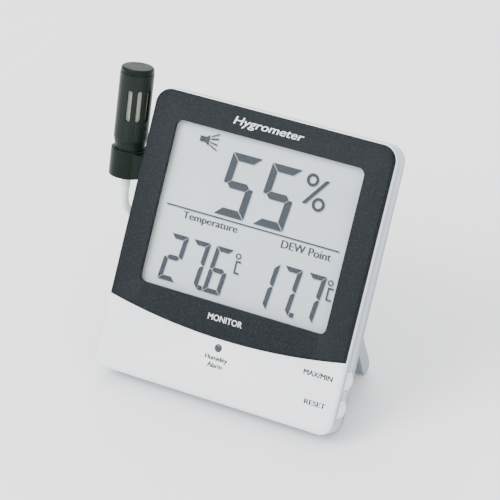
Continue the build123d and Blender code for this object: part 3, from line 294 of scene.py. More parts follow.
class Effects:
    """The shared effects, each made once."""

    def __init__(self, housing: HousingFrame):
        """Makes every effect for the given housing."""
        self.housing = housing
        self.place = self.make_place()
        self.grain = self.make_grain()
        self.seam = self.make_seam()
        self.wear = self.make_wear()
        self.ribs = self.make_ribs()

    def make_place(self) -> bpy.types.NodeTree:
        """Across, depth and height of the shaded point in the housing's frame, in millimetres.

        Returns:
            The effect.
        """
        shader, _, out = effect_group(
            "housing_place",
            {},
            {"Across": "NodeSocketFloat", "Depth": "NodeSocketFloat", "Height": "NodeSocketFloat"},
        )
        back = self.housing.matrix.inverted()
        shift = shader.add("ShaderNodeVectorMath", operation="SUBTRACT")
        shader.plug(shift.inputs[0], object_point(shader))
        shader.plug(shift.inputs[1], self.housing.point(0.0, 0.0, 0.0))
        turn = shader.add("ShaderNodeVectorRotate", rotation_type="X_AXIS")
        shader.feed(turn, Vector=shift.outputs[0], Angle=LEAN)
        size = shader.add("ShaderNodeVectorMath", operation="SCALE")
        shader.plug(size.inputs[0], turn.outputs[0])
        shader.plug(size.inputs["Scale"], back.to_scale().x)
        split = shader.add("ShaderNodeSeparateXYZ")
        shader.plug(split.inputs[0], size.outputs[0])
        for name, socket in zip(("Across", "Depth", "Height"), split.outputs):
            shader.plug(out.inputs[name], socket)
        return shader.tree

    def make_grain(self) -> bpy.types.NodeTree:
        """Moulded or cast texture: fine bumps, a cloudy tone and uneven gloss.

        Returns:
            The effect.
        """
        shader, given, out = effect_group(
            "moulded_grain",
            {
                "Color": ("NodeSocketColor", (0.5, 0.5, 0.5, 1.0)),
                "Roughness": ("NodeSocketFloat", 0.5),
                "Size": ("NodeSocketFloat", 0.4),
                "Depth": ("NodeSocketFloat", 0.1),
                "Variation": ("NodeSocketFloat", 0.05),
            },
            {"Color": "NodeSocketColor", "Roughness": "NodeSocketFloat", "Normal": "NodeSocketVector"},
        )
        point = object_point(shader)
        scale = shader.math("DIVIDE", 1.0 / MM, given["Size"])
        fine = shader.add("ShaderNodeTexNoise")
        shader.feed(fine, Vector=point, Scale=scale, Detail=4.0)
        cloud = shader.noise(point, 60.0, 4.0)
        swing = shader.math("MULTIPLY", shader.math("SUBTRACT", cloud, 0.5), given["Variation"])
        speck = shader.math("MULTIPLY", shader.math("SUBTRACT", fine.outputs["Fac"], 0.5), given["Variation"])
        tone = shader.math("ADD", 1.0, shader.math("ADD", shader.math("MULTIPLY", swing, 2.0), speck))
        tint = shader.add("ShaderNodeCombineColor")
        for socket in tint.inputs:
            shader.plug(socket, tone)
        shader.plug(out.inputs["Color"], shader.mix(1.0, given["Color"], tint.outputs[0], "MULTIPLY"))
        rough = shader.math("ADD", given["Roughness"], shader.math("MULTIPLY", swing, 1.5))
        shader.plug(out.inputs["Roughness"], rough)
        bump = shader.add("ShaderNodeBump")
        shader.feed(bump, Strength=given["Depth"], Distance=0.1 * MM, Height=fine.outputs["Fac"])
        shader.plug(out.inputs["Normal"], bump.outputs[0])
        return shader.tree

    def make_seam(self) -> bpy.types.NodeTree:
        """A thin dark line where the two shells meet.

        Returns:
            The effect.
        """
        shader, given, out = effect_group(
            "shell_seam",
            {"Width": ("NodeSocketFloat", 0.22)},
            {"Line": "NodeSocketFloat"},
        )
        depth = self.place_in(shader).outputs["Depth"]
        away = shader.math("ABSOLUTE", shader.math("SUBTRACT", depth, SEAM_DEPTH))
        widths_away = shader.math("DIVIDE", away, given["Width"])
        line = shader.math("SUBTRACT", 1.0, shader.fade(widths_away, 0.5, 1.4))
        shader.plug(out.inputs["Line"], line)
        return shader.tree

    def make_wear(self) -> bpy.types.NodeTree:
        """Handling wear: worn along edges, with faint smudges that change the gloss.

        Returns:
            The effect.
        """
        shader, given, out = effect_group(
            "handling",
            {"Amount": ("NodeSocketFloat", 0.5)},
            {"Edge": "NodeSocketFloat", "Smudge": "NodeSocketFloat"},
        )
        edge = shader.add("ShaderNodeNewGeometry").outputs["Pointiness"]
        worn = shader.fade(edge, 0.52, 0.6)
        shader.plug(out.inputs["Edge"], shader.math("MULTIPLY", worn, given["Amount"]))
        smudge = shader.noise(object_point(shader), 28.0, 6.0)
        smeared = shader.fade(smudge, 0.5, 0.72)
        shader.plug(out.inputs["Smudge"], shader.math("MULTIPLY", smeared, given["Amount"]))
        return shader.tree

    def make_ribs(self) -> bpy.types.NodeTree:
        """Fine flutes round the probe's axis.

        Returns:
            The effect.
        """
        shader, given, out = effect_group(
            "flutes", {"Count": ("NodeSocketFloat", 40.0)}, {"Wave": "NodeSocketFloat"}
        )
        axis_point = self.housing.point(PROBE_X, PIVOT_DEPTH, PIVOT_HEIGHT)
        shift = shader.add("ShaderNodeVectorMath", operation="SUBTRACT")
        shader.plug(shift.inputs[0], object_point(shader))
        shader.plug(shift.inputs[1], axis_point)
        turn = shader.add("ShaderNodeVectorRotate", rotation_type="X_AXIS")
        shader.feed(turn, Vector=shift.outputs[0], Angle=LEAN - PROBE_LEAN)
        split = shader.add("ShaderNodeSeparateXYZ")
        shader.plug(split.inputs[0], turn.outputs[0])
        angle = shader.math("ARCTAN2", split.outputs[0], split.outputs[1])
        wave = shader.math("SINE", shader.math("MULTIPLY", angle, given["Count"]))
        shader.plug(out.inputs["Wave"], wave)
        return shader.tree

    def place_in(self, shader: Shader) -> bpy.types.Node:
        """Uses the place effect in another tree."""
        return shader.add("ShaderNodeGroup", node_tree=self.place)


class Pattern(Enum):
    """What a finish has on top of its grain."""

    PLAIN = "plain"
    SHELL = "shell"
    DISPLAY = "display"
    FLUTES = "flutes"
    STRIPES = "stripes"
    TRACES = "traces"
    BRUSHED = "brushed"
    WRAP = "wrap"
    SPECKLE = "speckle"
    WEAVE = "weave"


@dataclass(frozen=True)
class Finish:
    """A surface finish.

    Args:
        color: the base colour, linear.
        roughness: from 0, mirror, to 1, matt.
        grain: the size of its texture in millimetres.
        depth: how strong the texture's bumps are.
        variation: how cloudy its tone is.
        metallic: 1 for metal.
        coat: the weight of a clear coat.
        alpha: how much of it hides what is behind it.
        transmission: how much light goes through it.
        wear: how worn its edges are.
        specular: how strongly it mirrors at a right angle, 0.5 for common plastic.
        pattern: what it has on top.
    """

    color: tuple
    roughness: float = 0.5
    grain: float = 0.4
    depth: float = 0.1
    variation: float = 0.05
    metallic: float = 0.0
    coat: float = 0.0
    alpha: float = 1.0
    transmission: float = 0.0
    wear: float = 0.3
    specular: float = 0.5
    pattern: Pattern = Pattern.PLAIN


FINISHES = {
    "pearl_plastic": Finish((0.80, 0.81, 0.83), 0.34, 0.25, 0.05, 0.02, coat=0.25, pattern=Pattern.SHELL),
    "shell_plastic": Finish((0.62, 0.64, 0.66), 0.42, 0.3, 0.12, 0.04, pattern=Pattern.SHELL),
    "charcoal_plastic": Finish(
        (0.0045, 0.0070, 0.0088), 0.5, 0.3, 0.5, 0.2, wear=0.2, specular=0.12, pattern=Pattern.SPECKLE
    ),
    "button_plastic": Finish((0.66, 0.68, 0.71), 0.3, 0.3, 0.05, 0.03, coat=0.3),
    "stand_plastic": Finish((0.24, 0.28, 0.30), 0.48, 0.35, 0.16, 0.05),
    "probe_plastic": Finish(
        (0.004, 0.0085, 0.0065), 0.33, 0.3, 0.12, 0.2, specular=0.1, pattern=Pattern.FLUTES
    ),
    "filter_felt": Finish((0.30, 0.32, 0.25), 0.9, 0.25, 0.6, 0.25, pattern=Pattern.WEAVE),
    "clear_lens": Finish((0.95, 0.97, 0.96), 0.06, 0.9, 0.01, 0.0, alpha=0.03),
    "lcd_film": Finish((0.42, 0.48, 0.50), 0.4, 0.12, 0.05, 0.03, specular=0.3, pattern=Pattern.DISPLAY),
    "lcd_glass": Finish((0.75, 0.82, 0.79), 0.05, 0.9, 0.01, 0.02, alpha=0.35, transmission=0.4),
    "lcd_back": Finish((0.50, 0.53, 0.49), 0.5, 0.2, 0.1, 0.04),
    "lcd_ink": Finish((0.010, 0.017, 0.026), 0.5, 0.3, 0.02, 0.05, wear=0.0, specular=0.15),
    "lcd_shade": Finish((0.10, 0.12, 0.11), 0.6, 0.3, 0.0, 0.02, alpha=0.14, wear=0.0),
    "white_plastic": Finish((0.78, 0.78, 0.75), 0.5, 0.4, 0.1, 0.03),
    "contact_rubber": Finish((0.30, 0.22, 0.20), 0.7, 0.3, 0.2, 0.05, pattern=Pattern.STRIPES),
    "board_laminate": Finish((0.02, 0.12, 0.045), 0.38, 0.2, 0.15, 0.1, coat=0.3, pattern=Pattern.TRACES),
    "chip_resin": Finish((0.010, 0.010, 0.011), 0.22, 0.8, 0.25, 0.1, coat=0.4),
    "steel": Finish((0.50, 0.50, 0.52), 0.28, 0.1, 0.15, 0.1, metallic=1.0, pattern=Pattern.BRUSHED),
    "nickel": Finish((0.62, 0.60, 0.55), 0.2, 0.1, 0.1, 0.08, metallic=1.0, pattern=Pattern.BRUSHED),
    "black_plastic": Finish((0.015, 0.015, 0.016), 0.5, 0.3, 0.2, 0.1),
    "lamp_plastic": Finish((0.022, 0.020, 0.019), 0.12, 0.5, 0.03, 0.05, coat=0.6),
    "cell_wrap": Finish((0.05, 0.07, 0.11), 0.28, 0.5, 0.05, 0.05, coat=0.4, pattern=Pattern.WRAP),
    "cable_sheath": Finish((0.70, 0.72, 0.72), 0.42, 0.35, 0.08, 0.03),
    "dark_print": Finish((0.012, 0.013, 0.016), 0.55, 0.2, 0.05, 0.05, wear=0.0, specular=0.2),
    "white_print": Finish((0.72, 0.73, 0.74), 0.5, 0.2, 0.05, 0.03, wear=0.0),
    "floor_paper": Finish((0.90, 0.90, 0.90), 0.9, 0.8, 0.03, 0.01, wear=0.0),
}


class Paint:
    """Makes one material for each finish and gives it to pieces."""

    def __init__(self, effects: Effects):
        """Keeps the effects that the materials share."""
        self.effects = effects
        self.made: dict = {}

    def material(self, name: str) -> bpy.types.Material:
        """The material of a named finish, made on first use.

        Args:
            name: the finish's name.

        Returns:
            The material.
        """
        if name not in self.made:
            self.made[name] = self.make(name, FINISHES[name])
        return self.made[name]

    def make(self, name: str, finish: Finish) -> bpy.types.Material:
        """Builds a finish's nodes round one Principled surface.

        Args:
            name: the material's name.
            finish: what it looks like.

        Returns:
            The material.
        """
        material = bpy.data.materials.new(name)
        material.use_nodes = True
        shader = Shader(material.node_tree)
        surface = material.node_tree.nodes["Principled BSDF"]
        grain = shader.add("ShaderNodeGroup", node_tree=self.effects.grain)
        color = self.colored(shader, finish)
        shader.feed(grain, Color=color, Roughness=finish.roughness, Size=finish.grain)
        shader.feed(grain, Depth=finish.depth, Variation=finish.variation)
        handled = shader.add("ShaderNodeGroup", node_tree=self.effects.wear)
        shader.feed(handled, Amount=finish.wear)
        lighter = tuple(min(1.0, value * 1.25 + 0.02) for value in finish.color) + (1.0,)
        worn = shader.mix(handled.outputs["Edge"], grain.outputs["Color"], lighter)
        polish = shader.math("MULTIPLY", handled.outputs["Smudge"], 0.08)
        gloss = shader.math("SUBTRACT", grain.outputs["Roughness"], polish)
        shader.feed(surface, Base_Color=worn, Roughness=gloss, Normal=self.bumped(shader, finish, grain))
        shader.feed(surface, Metallic=finish.metallic, Coat_Weight=finish.coat, Coat_Roughness=0.15)
        shader.feed(surface, Alpha=finish.alpha, Transmission_Weight=finish.transmission)
        shader.feed(surface, Specular_IOR_Level=finish.specular)
        if finish.pattern is Pattern.BRUSHED:
            shader.feed(surface, Anisotropic=0.6)
        return material

    def colored(self, shader: Shader, finish: Finish) -> Feed:
        """The finish's colour with its pattern.

        Args:
            shader: the material being built.
            finish: what it looks like.

        Returns:
            The colour.
        """
        base = finish.color + (1.0,)
        draw = {
            Pattern.SHELL: self.shell,
            Pattern.DISPLAY: self.display,
            Pattern.STRIPES: self.stripes,
            Pattern.TRACES: self.traces,
            Pattern.WRAP: self.wrap,
            Pattern.SPECKLE: self.speckle,
        }.get(finish.pattern)
        return draw(shader, base) if draw else base

    def shell(self, shader: Shader, base: tuple) -> bpy.types.NodeSocket:
        """Painted shade: cooler and darker on the housing's sides, with the seam between the shells.

        Args:
            shader: the material being built.
            base: the finish's colour.

        Returns:
            The patterned colour.
        """
        seam = shader.add("ShaderNodeGroup", node_tree=self.effects.seam)
        place = self.effects.place_in(shader)
        # painted shade: the housing's sides, back from its front face, are painted cooler and darker
        side = shader.fade(place.outputs["Depth"], 1.2, 3.4)
        side_shade_color = tuple(value * share for value, share in zip(base, (0.30, 0.36, 0.43))) + (1.0,)
        painted_shading = shader.mix(side, base, side_shade_color)
        return shader.mix(seam.outputs["Line"], painted_shading, (0.03, 0.032, 0.036, 1.0))

    def display(self, shader: Shader, base: tuple) -> bpy.types.NodeSocket:
        """Painted light: paler towards the upper left, with a painted soft shadow under the window's left and
        upper edges.

        Args:
            shader: the material being built.
            base: the finish's colour.

        Returns:
            The patterned colour.
        """
        place = self.effects.place_in(shader)
        # painted highlight: the film is painted paler towards the upper left
        painted_light_slope = shader.math("SUBTRACT", place.outputs["Height"], place.outputs["Across"])
        pale = tuple(min(1.0, value * 1.22) for value in base[:3]) + (1.0,)
        painted_shading = shader.mix(shader.fade(painted_light_slope, 10.0, 150.0), base, pale)
        # painted shadow: a soft shade is painted under the window's left and upper edges
        left = shader.math("SUBTRACT", 1.0, shader.fade(place.outputs["Across"], -39.5, -35.6))
        top = shader.fade(place.outputs["Height"], 95.2, 98.6)
        shade = shader.math("MULTIPLY", shader.math("MAXIMUM", left, top), 0.55)
        return shader.mix(shade, painted_shading, (0.20, 0.21, 0.13, 1.0))

    def stripes(self, shader: Shader, base: tuple) -> bpy.types.NodeSocket:
        """Fine dark stripes across, as in a layered contact strip.

        Args:
            shader: the material being built.
            base: the finish's colour.

        Returns:
            The patterned colour.
        """
        place = self.effects.place_in(shader)
        wave = shader.math("SINE", shader.math("MULTIPLY", place.outputs["Across"], 16.0))
        return shader.mix(shader.fade(wave, -0.2, 0.2), base, (0.02, 0.02, 0.02, 1.0))

    def traces(self, shader: Shader, base: tuple) -> bpy.types.NodeSocket:
        """Copper tracks under the solder mask, with small round pads.

        Args:
            shader: the material being built.
            base: the finish's colour.

        Returns:
            The patterned colour.
        """
        place = self.effects.place_in(shader)
        flat = shader.add("ShaderNodeCombineXYZ")
        shader.feed(flat, X=place.outputs["Across"], Y=place.outputs["Height"])
        brick = shader.add("ShaderNodeTexBrick", offset=0.35)
        shader.feed(brick, Vector=flat.outputs[0], Scale=0.35, Mortar_Size=0.035)
        pads = shader.add("ShaderNodeTexVoronoi")
        shader.feed(pads, Vector=flat.outputs[0], Scale=0.28)
        dot = shader.math("LESS_THAN", pads.outputs["Distance"], 0.13)
        lighter = (base[0] * 2.0, base[1] * 1.8, base[2] * 1.6, 1.0)
        tracks = shader.mix(brick.outputs["Fac"], base, lighter)
        return shader.mix(dot, tracks, (0.55, 0.53, 0.45, 1.0))

    def speckle(self, shader: Shader, base: tuple) -> bpy.types.NodeSocket:
        """Fine paler flecks, as sparked mould texture leaves in dark plastic.

        Args:
            shader: the material being built.
            base: the finish's colour.

        Returns:
            The patterned colour.
        """
        fleck = shader.noise(object_point(shader), 1500.0, 2.0)
        pale = tuple(value * 1.6 + 0.003 for value in base[:3]) + (1.0,)
        return shader.mix(shader.fade(fleck, 0.42, 0.66), base, pale)

    def wrap(self, shader: Shader, base: tuple) -> bpy.types.NodeSocket:
        """A plain wrap with one bright band near the cell's positive end.

        Args:
            shader: the material being built.
            base: the finish's colour.

        Returns:
            The patterned colour.
        """
        place = self.effects.place_in(shader)
        band = shader.fade(place.outputs["Across"], 13.0, 13.3)
        return shader.mix(band, base, (0.55, 0.36, 0.08, 1.0))

    def bumped(self, shader: Shader, finish: Finish, grain: bpy.types.Node) -> bpy.types.NodeSocket:
        """The grain's normal with the pattern's own relief.

        Args:
            shader: the material being built.
            finish: what it looks like.
            grain: the grain effect in it.

        Returns:
            The normal.
        """
        if finish.pattern is Pattern.FLUTES:
            wave = shader.add("ShaderNodeGroup", node_tree=self.effects.ribs)
            return self.relief(shader, wave.outputs["Wave"], 0.12, grain)
        if finish.pattern is Pattern.WEAVE:
            fibres = shader.add("ShaderNodeTexWave")
            shader.feed(fibres, Vector=object_point(shader), Scale=900.0, Distortion=6.0)
            return self.relief(shader, fibres.outputs["Fac"], 0.6, grain)
        if finish.pattern is Pattern.BRUSHED:
            lines = shader.add("ShaderNodeTexNoise")
            stretch = shader.add("ShaderNodeMapping")
            shader.feed(stretch, Vector=object_point(shader), Scale=(200.0, 6000.0, 6000.0))
            shader.feed(lines, Vector=stretch.outputs[0], Scale=1.0)
            return self.relief(shader, lines.outputs["Fac"], 0.2, grain)
        return grain.outputs["Normal"]

    def relief(self, shader: Shader, height: Feed, strength: float, grain: bpy.types.Node) -> Feed:
        """Adds a height to the grain's normal.

        Args:
            shader: the material being built.
            height: the height to add.
            strength: how strongly.
            grain: the grain effect in it.

        Returns:
            The normal.
        """
        bump = shader.add("ShaderNodeBump")
        shader.feed(bump, Strength=strength, Distance=0.2 * MM, Height=height, Normal=grain.outputs["Normal"])
        return bump.outputs[0]

    def dress(self, piece: bpy.types.Object, name: str) -> None:
        """Gives a CAD node its finish without touching its mesh.

        Args:
            piece: the node's object.
            name: the finish's name.
        """
        for holder in piece.material_slots:
            holder.material = self.material(name)


# ---- mesh building ----
def mesh_piece(name: str, points: np.ndarray, faces: list, matrix: Matrix) -> bpy.types.Object:
    """Makes a mesh object at the origin, with its place in its mesh.

    Args:
        name: the piece's name.
        points: its corners, three numbers a row.
        faces: its faces as corner numbers.
        matrix: takes the corners to the row frame.

    Returns:
        The new object, linked to the scene.
    """
    turn = np.array(matrix)
    placed = points @ turn[:3, :3].T + turn[:3, 3]
    mesh = bpy.data.meshes.new(name)
    mesh.from_pydata([tuple(point) for point in placed], [], faces)
    mesh.validate()
    piece = bpy.data.objects.new(name, mesh)
    bpy.context.scene.collection.objects.link(piece)
    return piece


@dataclass
class PlateMesh:
    """Flat outlines in the housing's across and height, each given a thickness, in one mesh."""

    points: list
    faces: list

    @classmethod
    def empty(cls) -> "PlateMesh":
        """A mesh with nothing in it yet."""
        return cls([], [])

    def add(self, outline: list, front: float, back: float) -> None:
        """Adds one convex outline, given clockwise or not, between two depths.

        Args:
            outline: its corners, across and up.
            front: the depth of its front.
            back: the depth of its back.
        """
        first = len(self.points)
        count = len(outline)
        area = sum(a[0] * b[1] - b[0] * a[1] for a, b in zip(outline, outline[1:] + outline[:1]))
        corners = outline if area > 0 else outline[::-1]
        self.points += [(x, front, z) for x, z in corners] + [(x, back, z) for x, z in corners]
        self.faces.append(tuple(range(first, first + count)))
        self.faces.append(tuple(range(first + 2 * count - 1, first + count - 1, -1)))
        for index in range(count):
            after = (index + 1) % count
            self.faces.append((first + after, first + index, first + count + index, first + count + after))

    def ring(self, centre: tuple, radius: float, width: float, front: float, back: float) -> None:
        """Adds a flat ring as a chain of short outlines.

        Args:
            centre: its middle, across and up.
            radius: its outer radius.
            width: how wide its band is.
            front: the depth of its front.
            back: the depth of its back.
        """
        turns = np.linspace(0.0, 2.0 * math.pi, RING_STEPS + 1)
        for start, end in zip(turns, turns[1:]):
            corners = [(radius, start), (radius, end), (radius - width, end), (radius - width, start)]
            outline = [(centre[0] + r * math.cos(a), centre[1] + r * math.sin(a)) for r, a in corners]
            self.add(outline, front, back)

    def piece(self, name: str, housing: HousingFrame, offset: tuple = (0.0, 0.0)) -> bpy.types.Object:
        """Makes the object, moved across and up its face by an offset.

        Args:
            name: the piece's name.
            housing: the frame that it is drawn in.
            offset: how far it is moved, across and up.

        Returns:
            The object.
        """
        shift = Matrix.Translation(Vector((offset[0], 0.0, offset[1])))
        return mesh_piece(name, np.array(self.points), self.faces, housing.matrix @ shift)


# ---- the display's content ----
SEGMENTS = {
    "1": "bc", "2": "abged", "5": "afgcd", "6": "afgedc", "7": "abc",
}


@dataclass(frozen=True)
class DigitCell:
    """One slanted seven-segment digit.

    Args:
        left: its lower left corner, across.
        base: its lower edge, in height.
        width: its width at one height.
        height: its height.
        stroke: the width of its strokes.
    """

    left: float
    base: float
    width: float
    height: float
    stroke: float

    def strokes(self, digit: str) -> list:
        """The outlines of the strokes that the digit lights.

        Args:
            digit: the digit to show.

        Returns:
            One outline for each stroke.
        """
        w, h, s = self.width, self.height, self.stroke
        g = SEGMENT_GAP / 2
        m = h / 2
        shapes = {
            "a": [(g, h), (w - g, h), (w - s - g, h - s), (s + g, h - s)],
            "b": [(w, h - g), (w, m + g), (w - s / 2, m + g), (w - s, m + s / 2 + g), (w - s, h - s - g)],
            "c": [(w, m - g), (w, g), (w - s, s + g), (w - s, m - s / 2 - g), (w - s / 2, m - g)],
            "d": [(w - g, 0), (g, 0), (s + g, s), (w - s - g, s)],
            "e": [(0, g), (0, m - g), (s / 2, m - g), (s, m - s / 2 - g), (s, s + g)],
            "f": [(0, m + g), (0, h - g), (s, h - s - g), (s, m + s / 2 + g), (s / 2, m + g)],
            "g": [(s / 2 + g, m), (s + g, m + s / 2), (w - s - g, m + s / 2), (w - s / 2 - g, m),
                  (w - s - g, m - s / 2), (s + g, m - s / 2)],
        }
        return [[self.slanted(point) for point in shapes[key]] for key in SEGMENTS[digit]]

    def slanted(self, point: tuple) -> tuple:
        """A point of the upright digit, slanted and put in its place."""
        return self.left + point[0] + DISPLAY_SLANT * point[1], self.base + point[1]


@dataclass
class SegmentDisplay:
    """Everything that the LCD shows."""

    front: float
    back: float

    def outlines(self) -> PlateMesh:
        """Digits, points, units, divider and the alarm sign in one mesh.

        Returns:
            The mesh that holds them.
        """
        plate = PlateMesh.empty()
        width, height, stroke = BIG_DIGIT
        for left, digit in ((-16.7, "5"), (-0.4, "5")):
            self.draw(plate, DigitCell(left, BIG_BASE, width, height, stroke), digit)
        width, height, stroke = SMALL_DIGIT
        for left, digit in ((-32.8, "2"), (-23.5, "7"), (-13.8, "6"), (5.3, "1"), (14.5, "7"), (24.3, "7")):
            self.draw(plate, DigitCell(left, SMALL_BASE, width, height, stroke), digit)
        for x in (-14.9, 23.2):
            plate.add(self.square(x, SMALL_BASE + 0.9, 0.9), self.front, self.back)
        self.percent(plate)
        for x in (-2.6, 35.2):
            plate.ring((x, 54.7), 1.15, 0.5, self.front, self.back)
            self.letter_c(plate, x)
        plate.add([(-36.0, 66.2), (35.5, 66.2), (35.5, 66.75), (-36.0, 66.75)], self.front, self.back)
        self.speaker(plate)
        return plate

    def draw(self, plate: PlateMesh, cell: DigitCell, digit: str) -> None:
        """Adds one digit.

        Args:
            plate: the mesh to add to.
            cell: the digit's place.
            digit: the digit to show.
        """
        for outline in cell.strokes(digit):
            plate.add(outline, self.front, self.back)

    def square(self, x: float, z: float, half: float) -> list:
        """A small square's corners."""
        return [(x - half, z - half), (x + half, z - half), (x + half, z + half), (x - half, z + half)]

    def letter_c(self, plate: PlateMesh, x: float) -> None:
        """The small C of the degree unit.

        Args:
            plate: the mesh to add to.
            x: its place, across.
        """
        low, high, reach, stroke = 48.0, 53.0, 2.3, 0.7
        left = x - 0.6
        bars = ((left, left + stroke, low, high), (left + stroke, left + reach, high - stroke, high),
                (left + stroke, left + reach, low, low + stroke))
        for x0, x1, z0, z1 in bars:
            plate.add([(x0, z0), (x1, z0), (x1, z1), (x0, z1)], self.front, self.back)

    def percent(self, plate: PlateMesh) -> None:
        """The percent sign: two rings and a slanted bar.

        Args:
            plate: the mesh to add to.
        """
        plate.ring((18.9, 89.3), 2.5, 1.2, self.front, self.back)
        plate.ring((23.2, 81.0), 2.6, 1.2, self.front, self.back)
        plate.add([(16.5, 80.2), (18.3, 80.2), (25.8, 90.2), (24.0, 90.2)], self.front, self.back)

    def speaker(self, plate: PlateMesh) -> None:
        """The alarm sign: a small horn with four rays.

        Args:
            plate: the mesh to add to.
        """
        plate.add(self.square(-27.8, 93.3, 1.1), self.front, self.back)
        plate.add([(-26.7, 92.4), (-24.9, 91.2), (-24.9, 95.4), (-26.7, 94.2)], self.front, self.back)
        for start, end in ((94.9, 96.5), (93.9, 94.6), (92.7, 92.3), (91.7, 90.3)):
            rise = 0.3
            plate.add(
                [(-24.4, start - rise), (-21.2, end - rise), (-21.2, end + rise), (-24.4, start + rise)],
                self.front,
                self.back,
            )


# ---- lettering ----
@dataclass(frozen=True)
class Lettering:
    """A printed word, fitted to its place on a face.

    Args:
        name: the piece's name.
        words: what it says.
        left: its left end, across.
        right: its right end, across.
        low: its lowest edge.
        high: its highest edge.
        face: the depth of the face that it is printed on.
        finish: its print.
        shear: how far it leans over, as italics do.
        weight: how much its strokes are thickened, in millimetres, by printing it twice.
    """

    name: str
    words: str
    left: float
    right: float
    low: float
    high: float
    face: float
    finish: str
    shear: float = 0.0
    weight: float = 0.14

    def piece(self, housing: HousingFrame) -> bpy.types.Object:
        """Makes the word as a thin mesh, read from behind if its left is past its right.

        Args:
            housing: the frame that the word's place is in.

        Returns:
            The word's object.
        """
        curve = bpy.data.curves.new(self.name, "FONT")
        curve.body = self.words
        curve.shear = self.shear
        curve.resolution_u = 4
        curve.extrude = 0.02
        drawn = bpy.data.objects.new(self.name + "_curve", curve)
        flat = bpy.data.meshes.new_from_object(drawn)
        points = np.empty(len(flat.vertices) * 3)
        flat.vertices.foreach_get("co", points)
        points = points.reshape(-1, 3)
        faces = [tuple(face.vertices) for face in flat.polygons]
        bpy.data.objects.remove(drawn)
        bpy.data.curves.remove(curve)
        bpy.data.meshes.remove(flat)
        low, high = points.min(axis=0), points.max(axis=0)
        share = (points - low) / (high - low)
        side = 1.0 if self.left < self.right else -1.0
        across = self.left + share[:, 0] * (self.right - self.left)
        depth = self.face + side * (0.01 - PRINT_THICKNESS * share[:, 2])
        placed = np.column_stack((across, depth, self.low + share[:, 1] * (self.high - self.low)))
        second = placed + np.array((self.weight, side * SECOND_STRIKE, 0.0))
        struck_twice = faces + [tuple(index + len(placed) for index in face) for face in faces]
        return mesh_piece(self.name, np.concatenate((placed, second)), struck_twice, housing.matrix)


WORDS = [
    Lettering("title_print", "Hygrometer", -16.0, 12.7, 101.0, 104.9, BEZEL_FRONT, "white_print", 0.25),
    Lettering("plate_print", "MONITOR", -7.6, 6.4, 29.6, 31.9, BEZEL_FRONT, "white_print", weight=0.05),
    Lettering("lamp_print_upper", "Humidity", -5.4, 3.7, 14.7, 17.0, PANEL_FRONT, "dark_print", weight=0.22),
    Lettering("lamp_print_lower", "Alarm", -3.8, 2.2, 12.5, 14.3, PANEL_FRONT, "dark_print", weight=0.22),
    Lettering("max_min_print", "MAX/MIN", 34.0, 45.5, 20.3, 22.3, PANEL_FRONT, "dark_print", weight=0.22),
    Lettering("reset_print", "RESET", 36.9, 45.3, 9.9, 11.8, PANEL_FRONT, "dark_print", weight=0.22),
    Lettering("mode_legend", "MODE", 8.5, -0.5, 71.0, 72.8, BACK_DEPTH, "dark_print"),
    Lettering("up_legend", "UP", 20.6, 15.4, 71.0, 72.8, BACK_DEPTH, "dark_print"),
    Lettering("down_legend", "DOWN", 37.0, 27.0, 71.0, 72.8, BACK_DEPTH, "dark_print"),
    Lettering("cell_legend", "1.5 V", 2.5, -5.5, 50.0, 51.7, BACK_DEPTH, "dark_print"),
    Lettering("temperature_label", "Temperature", -28.4, -5.7, 61.9, 65.5, INK_DEPTH, "lcd_ink", weight=0.3),
    Lettering("dew_point_label", "DEW Point", 12.7, 32.8, 62.1, 65.1, INK_DEPTH, "lcd_ink", weight=0.3),
]


# ---- the cable ----
@dataclass
class Cable:
    """The probe's cable: down behind the housing, round the put-away coil and up to the gland."""

    housing: HousingFrame

    def coil(self) -> list:
        """The coil's turns, which lie beside and on each other.

        Returns:
            Control points above the table, in millimetres.
        """
        start = math.pi
        end = -math.radians(70.0) - 4.0 * math.pi
        count = int(POINTS_PER_TURN * (start - end) / (2.0 * math.pi))
        points = []
        for index in range(count + 1):
            share = index / count
            angle = start + (end - start) * share
            inner = share < 0.5
            radius = COIL_RADIUS + (CABLE_DIAMETER / 2 if inner else -CABLE_DIAMETER / 2) * 1.05
            height = CABLE_DIAMETER / 2 + max(0.0, share - 0.72) / 0.28 * CABLE_DIAMETER
            across = COIL_CENTRE[0] + radius * math.cos(angle)
            points.append((across, COIL_CENTRE[1] + radius * math.sin(angle), height))
        return points

    def route(self) -> list:
        """The control points from the probe's tail to the housing's gland, in the row frame.

        Returns:
            Control points in metres.
        """
        pivot = Matrix.Translation(Vector((PROBE_X, PIVOT_DEPTH, PIVOT_HEIGHT)))
        tail = pivot @ Matrix.Rotation(PROBE_LEAN, 4, "X")
        ends = [self.housing.matrix @ tail @ Vector((0.0, 0.0, station)) for station in (-9.7, -15.5)]
        lead = [self.housing.table_point(*point) for point in PROBE_LEAD + self.coil() + GLAND_LEAD]
        gland = [self.housing.point(-37.0, depth, 80.0) for depth in (34.5, 27.0)]
        return ends + lead + gland

    def piece(self, paint: Paint) -> bpy.types.Object:
        """Makes the cable as one smooth curve with a round section.

        Args:
            paint: where its sheath comes from.

        Returns:
            The cable.
        """
        curve = bpy.data.curves.new("cable", "CURVE")
        curve.dimensions = "3D"
        curve.bevel_depth = CABLE_DIAMETER / 2 * MM
        curve.bevel_resolution = 6
        curve.use_fill_caps = True
        route = self.route()
        spline = curve.splines.new("NURBS")
        spline.points.add(len(route) - 1)
        for point, place in zip(spline.points, route):
            point.co = (*place, 1.0)
        spline.order_u = 3
        spline.use_endpoint_u = True
        spline.resolution_u = 6
        curve.materials.append(paint.material("cable_sheath"))
        cable = bpy.data.objects.new("cable", curve)
        bpy.context.scene.collection.objects.link(cable)
        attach(cable, "housing")
        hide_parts("cable_lead_probe", "cable_coil", "cable_lead_housing")
        LOG.info("cable has %d control points", len(route))
        return cable


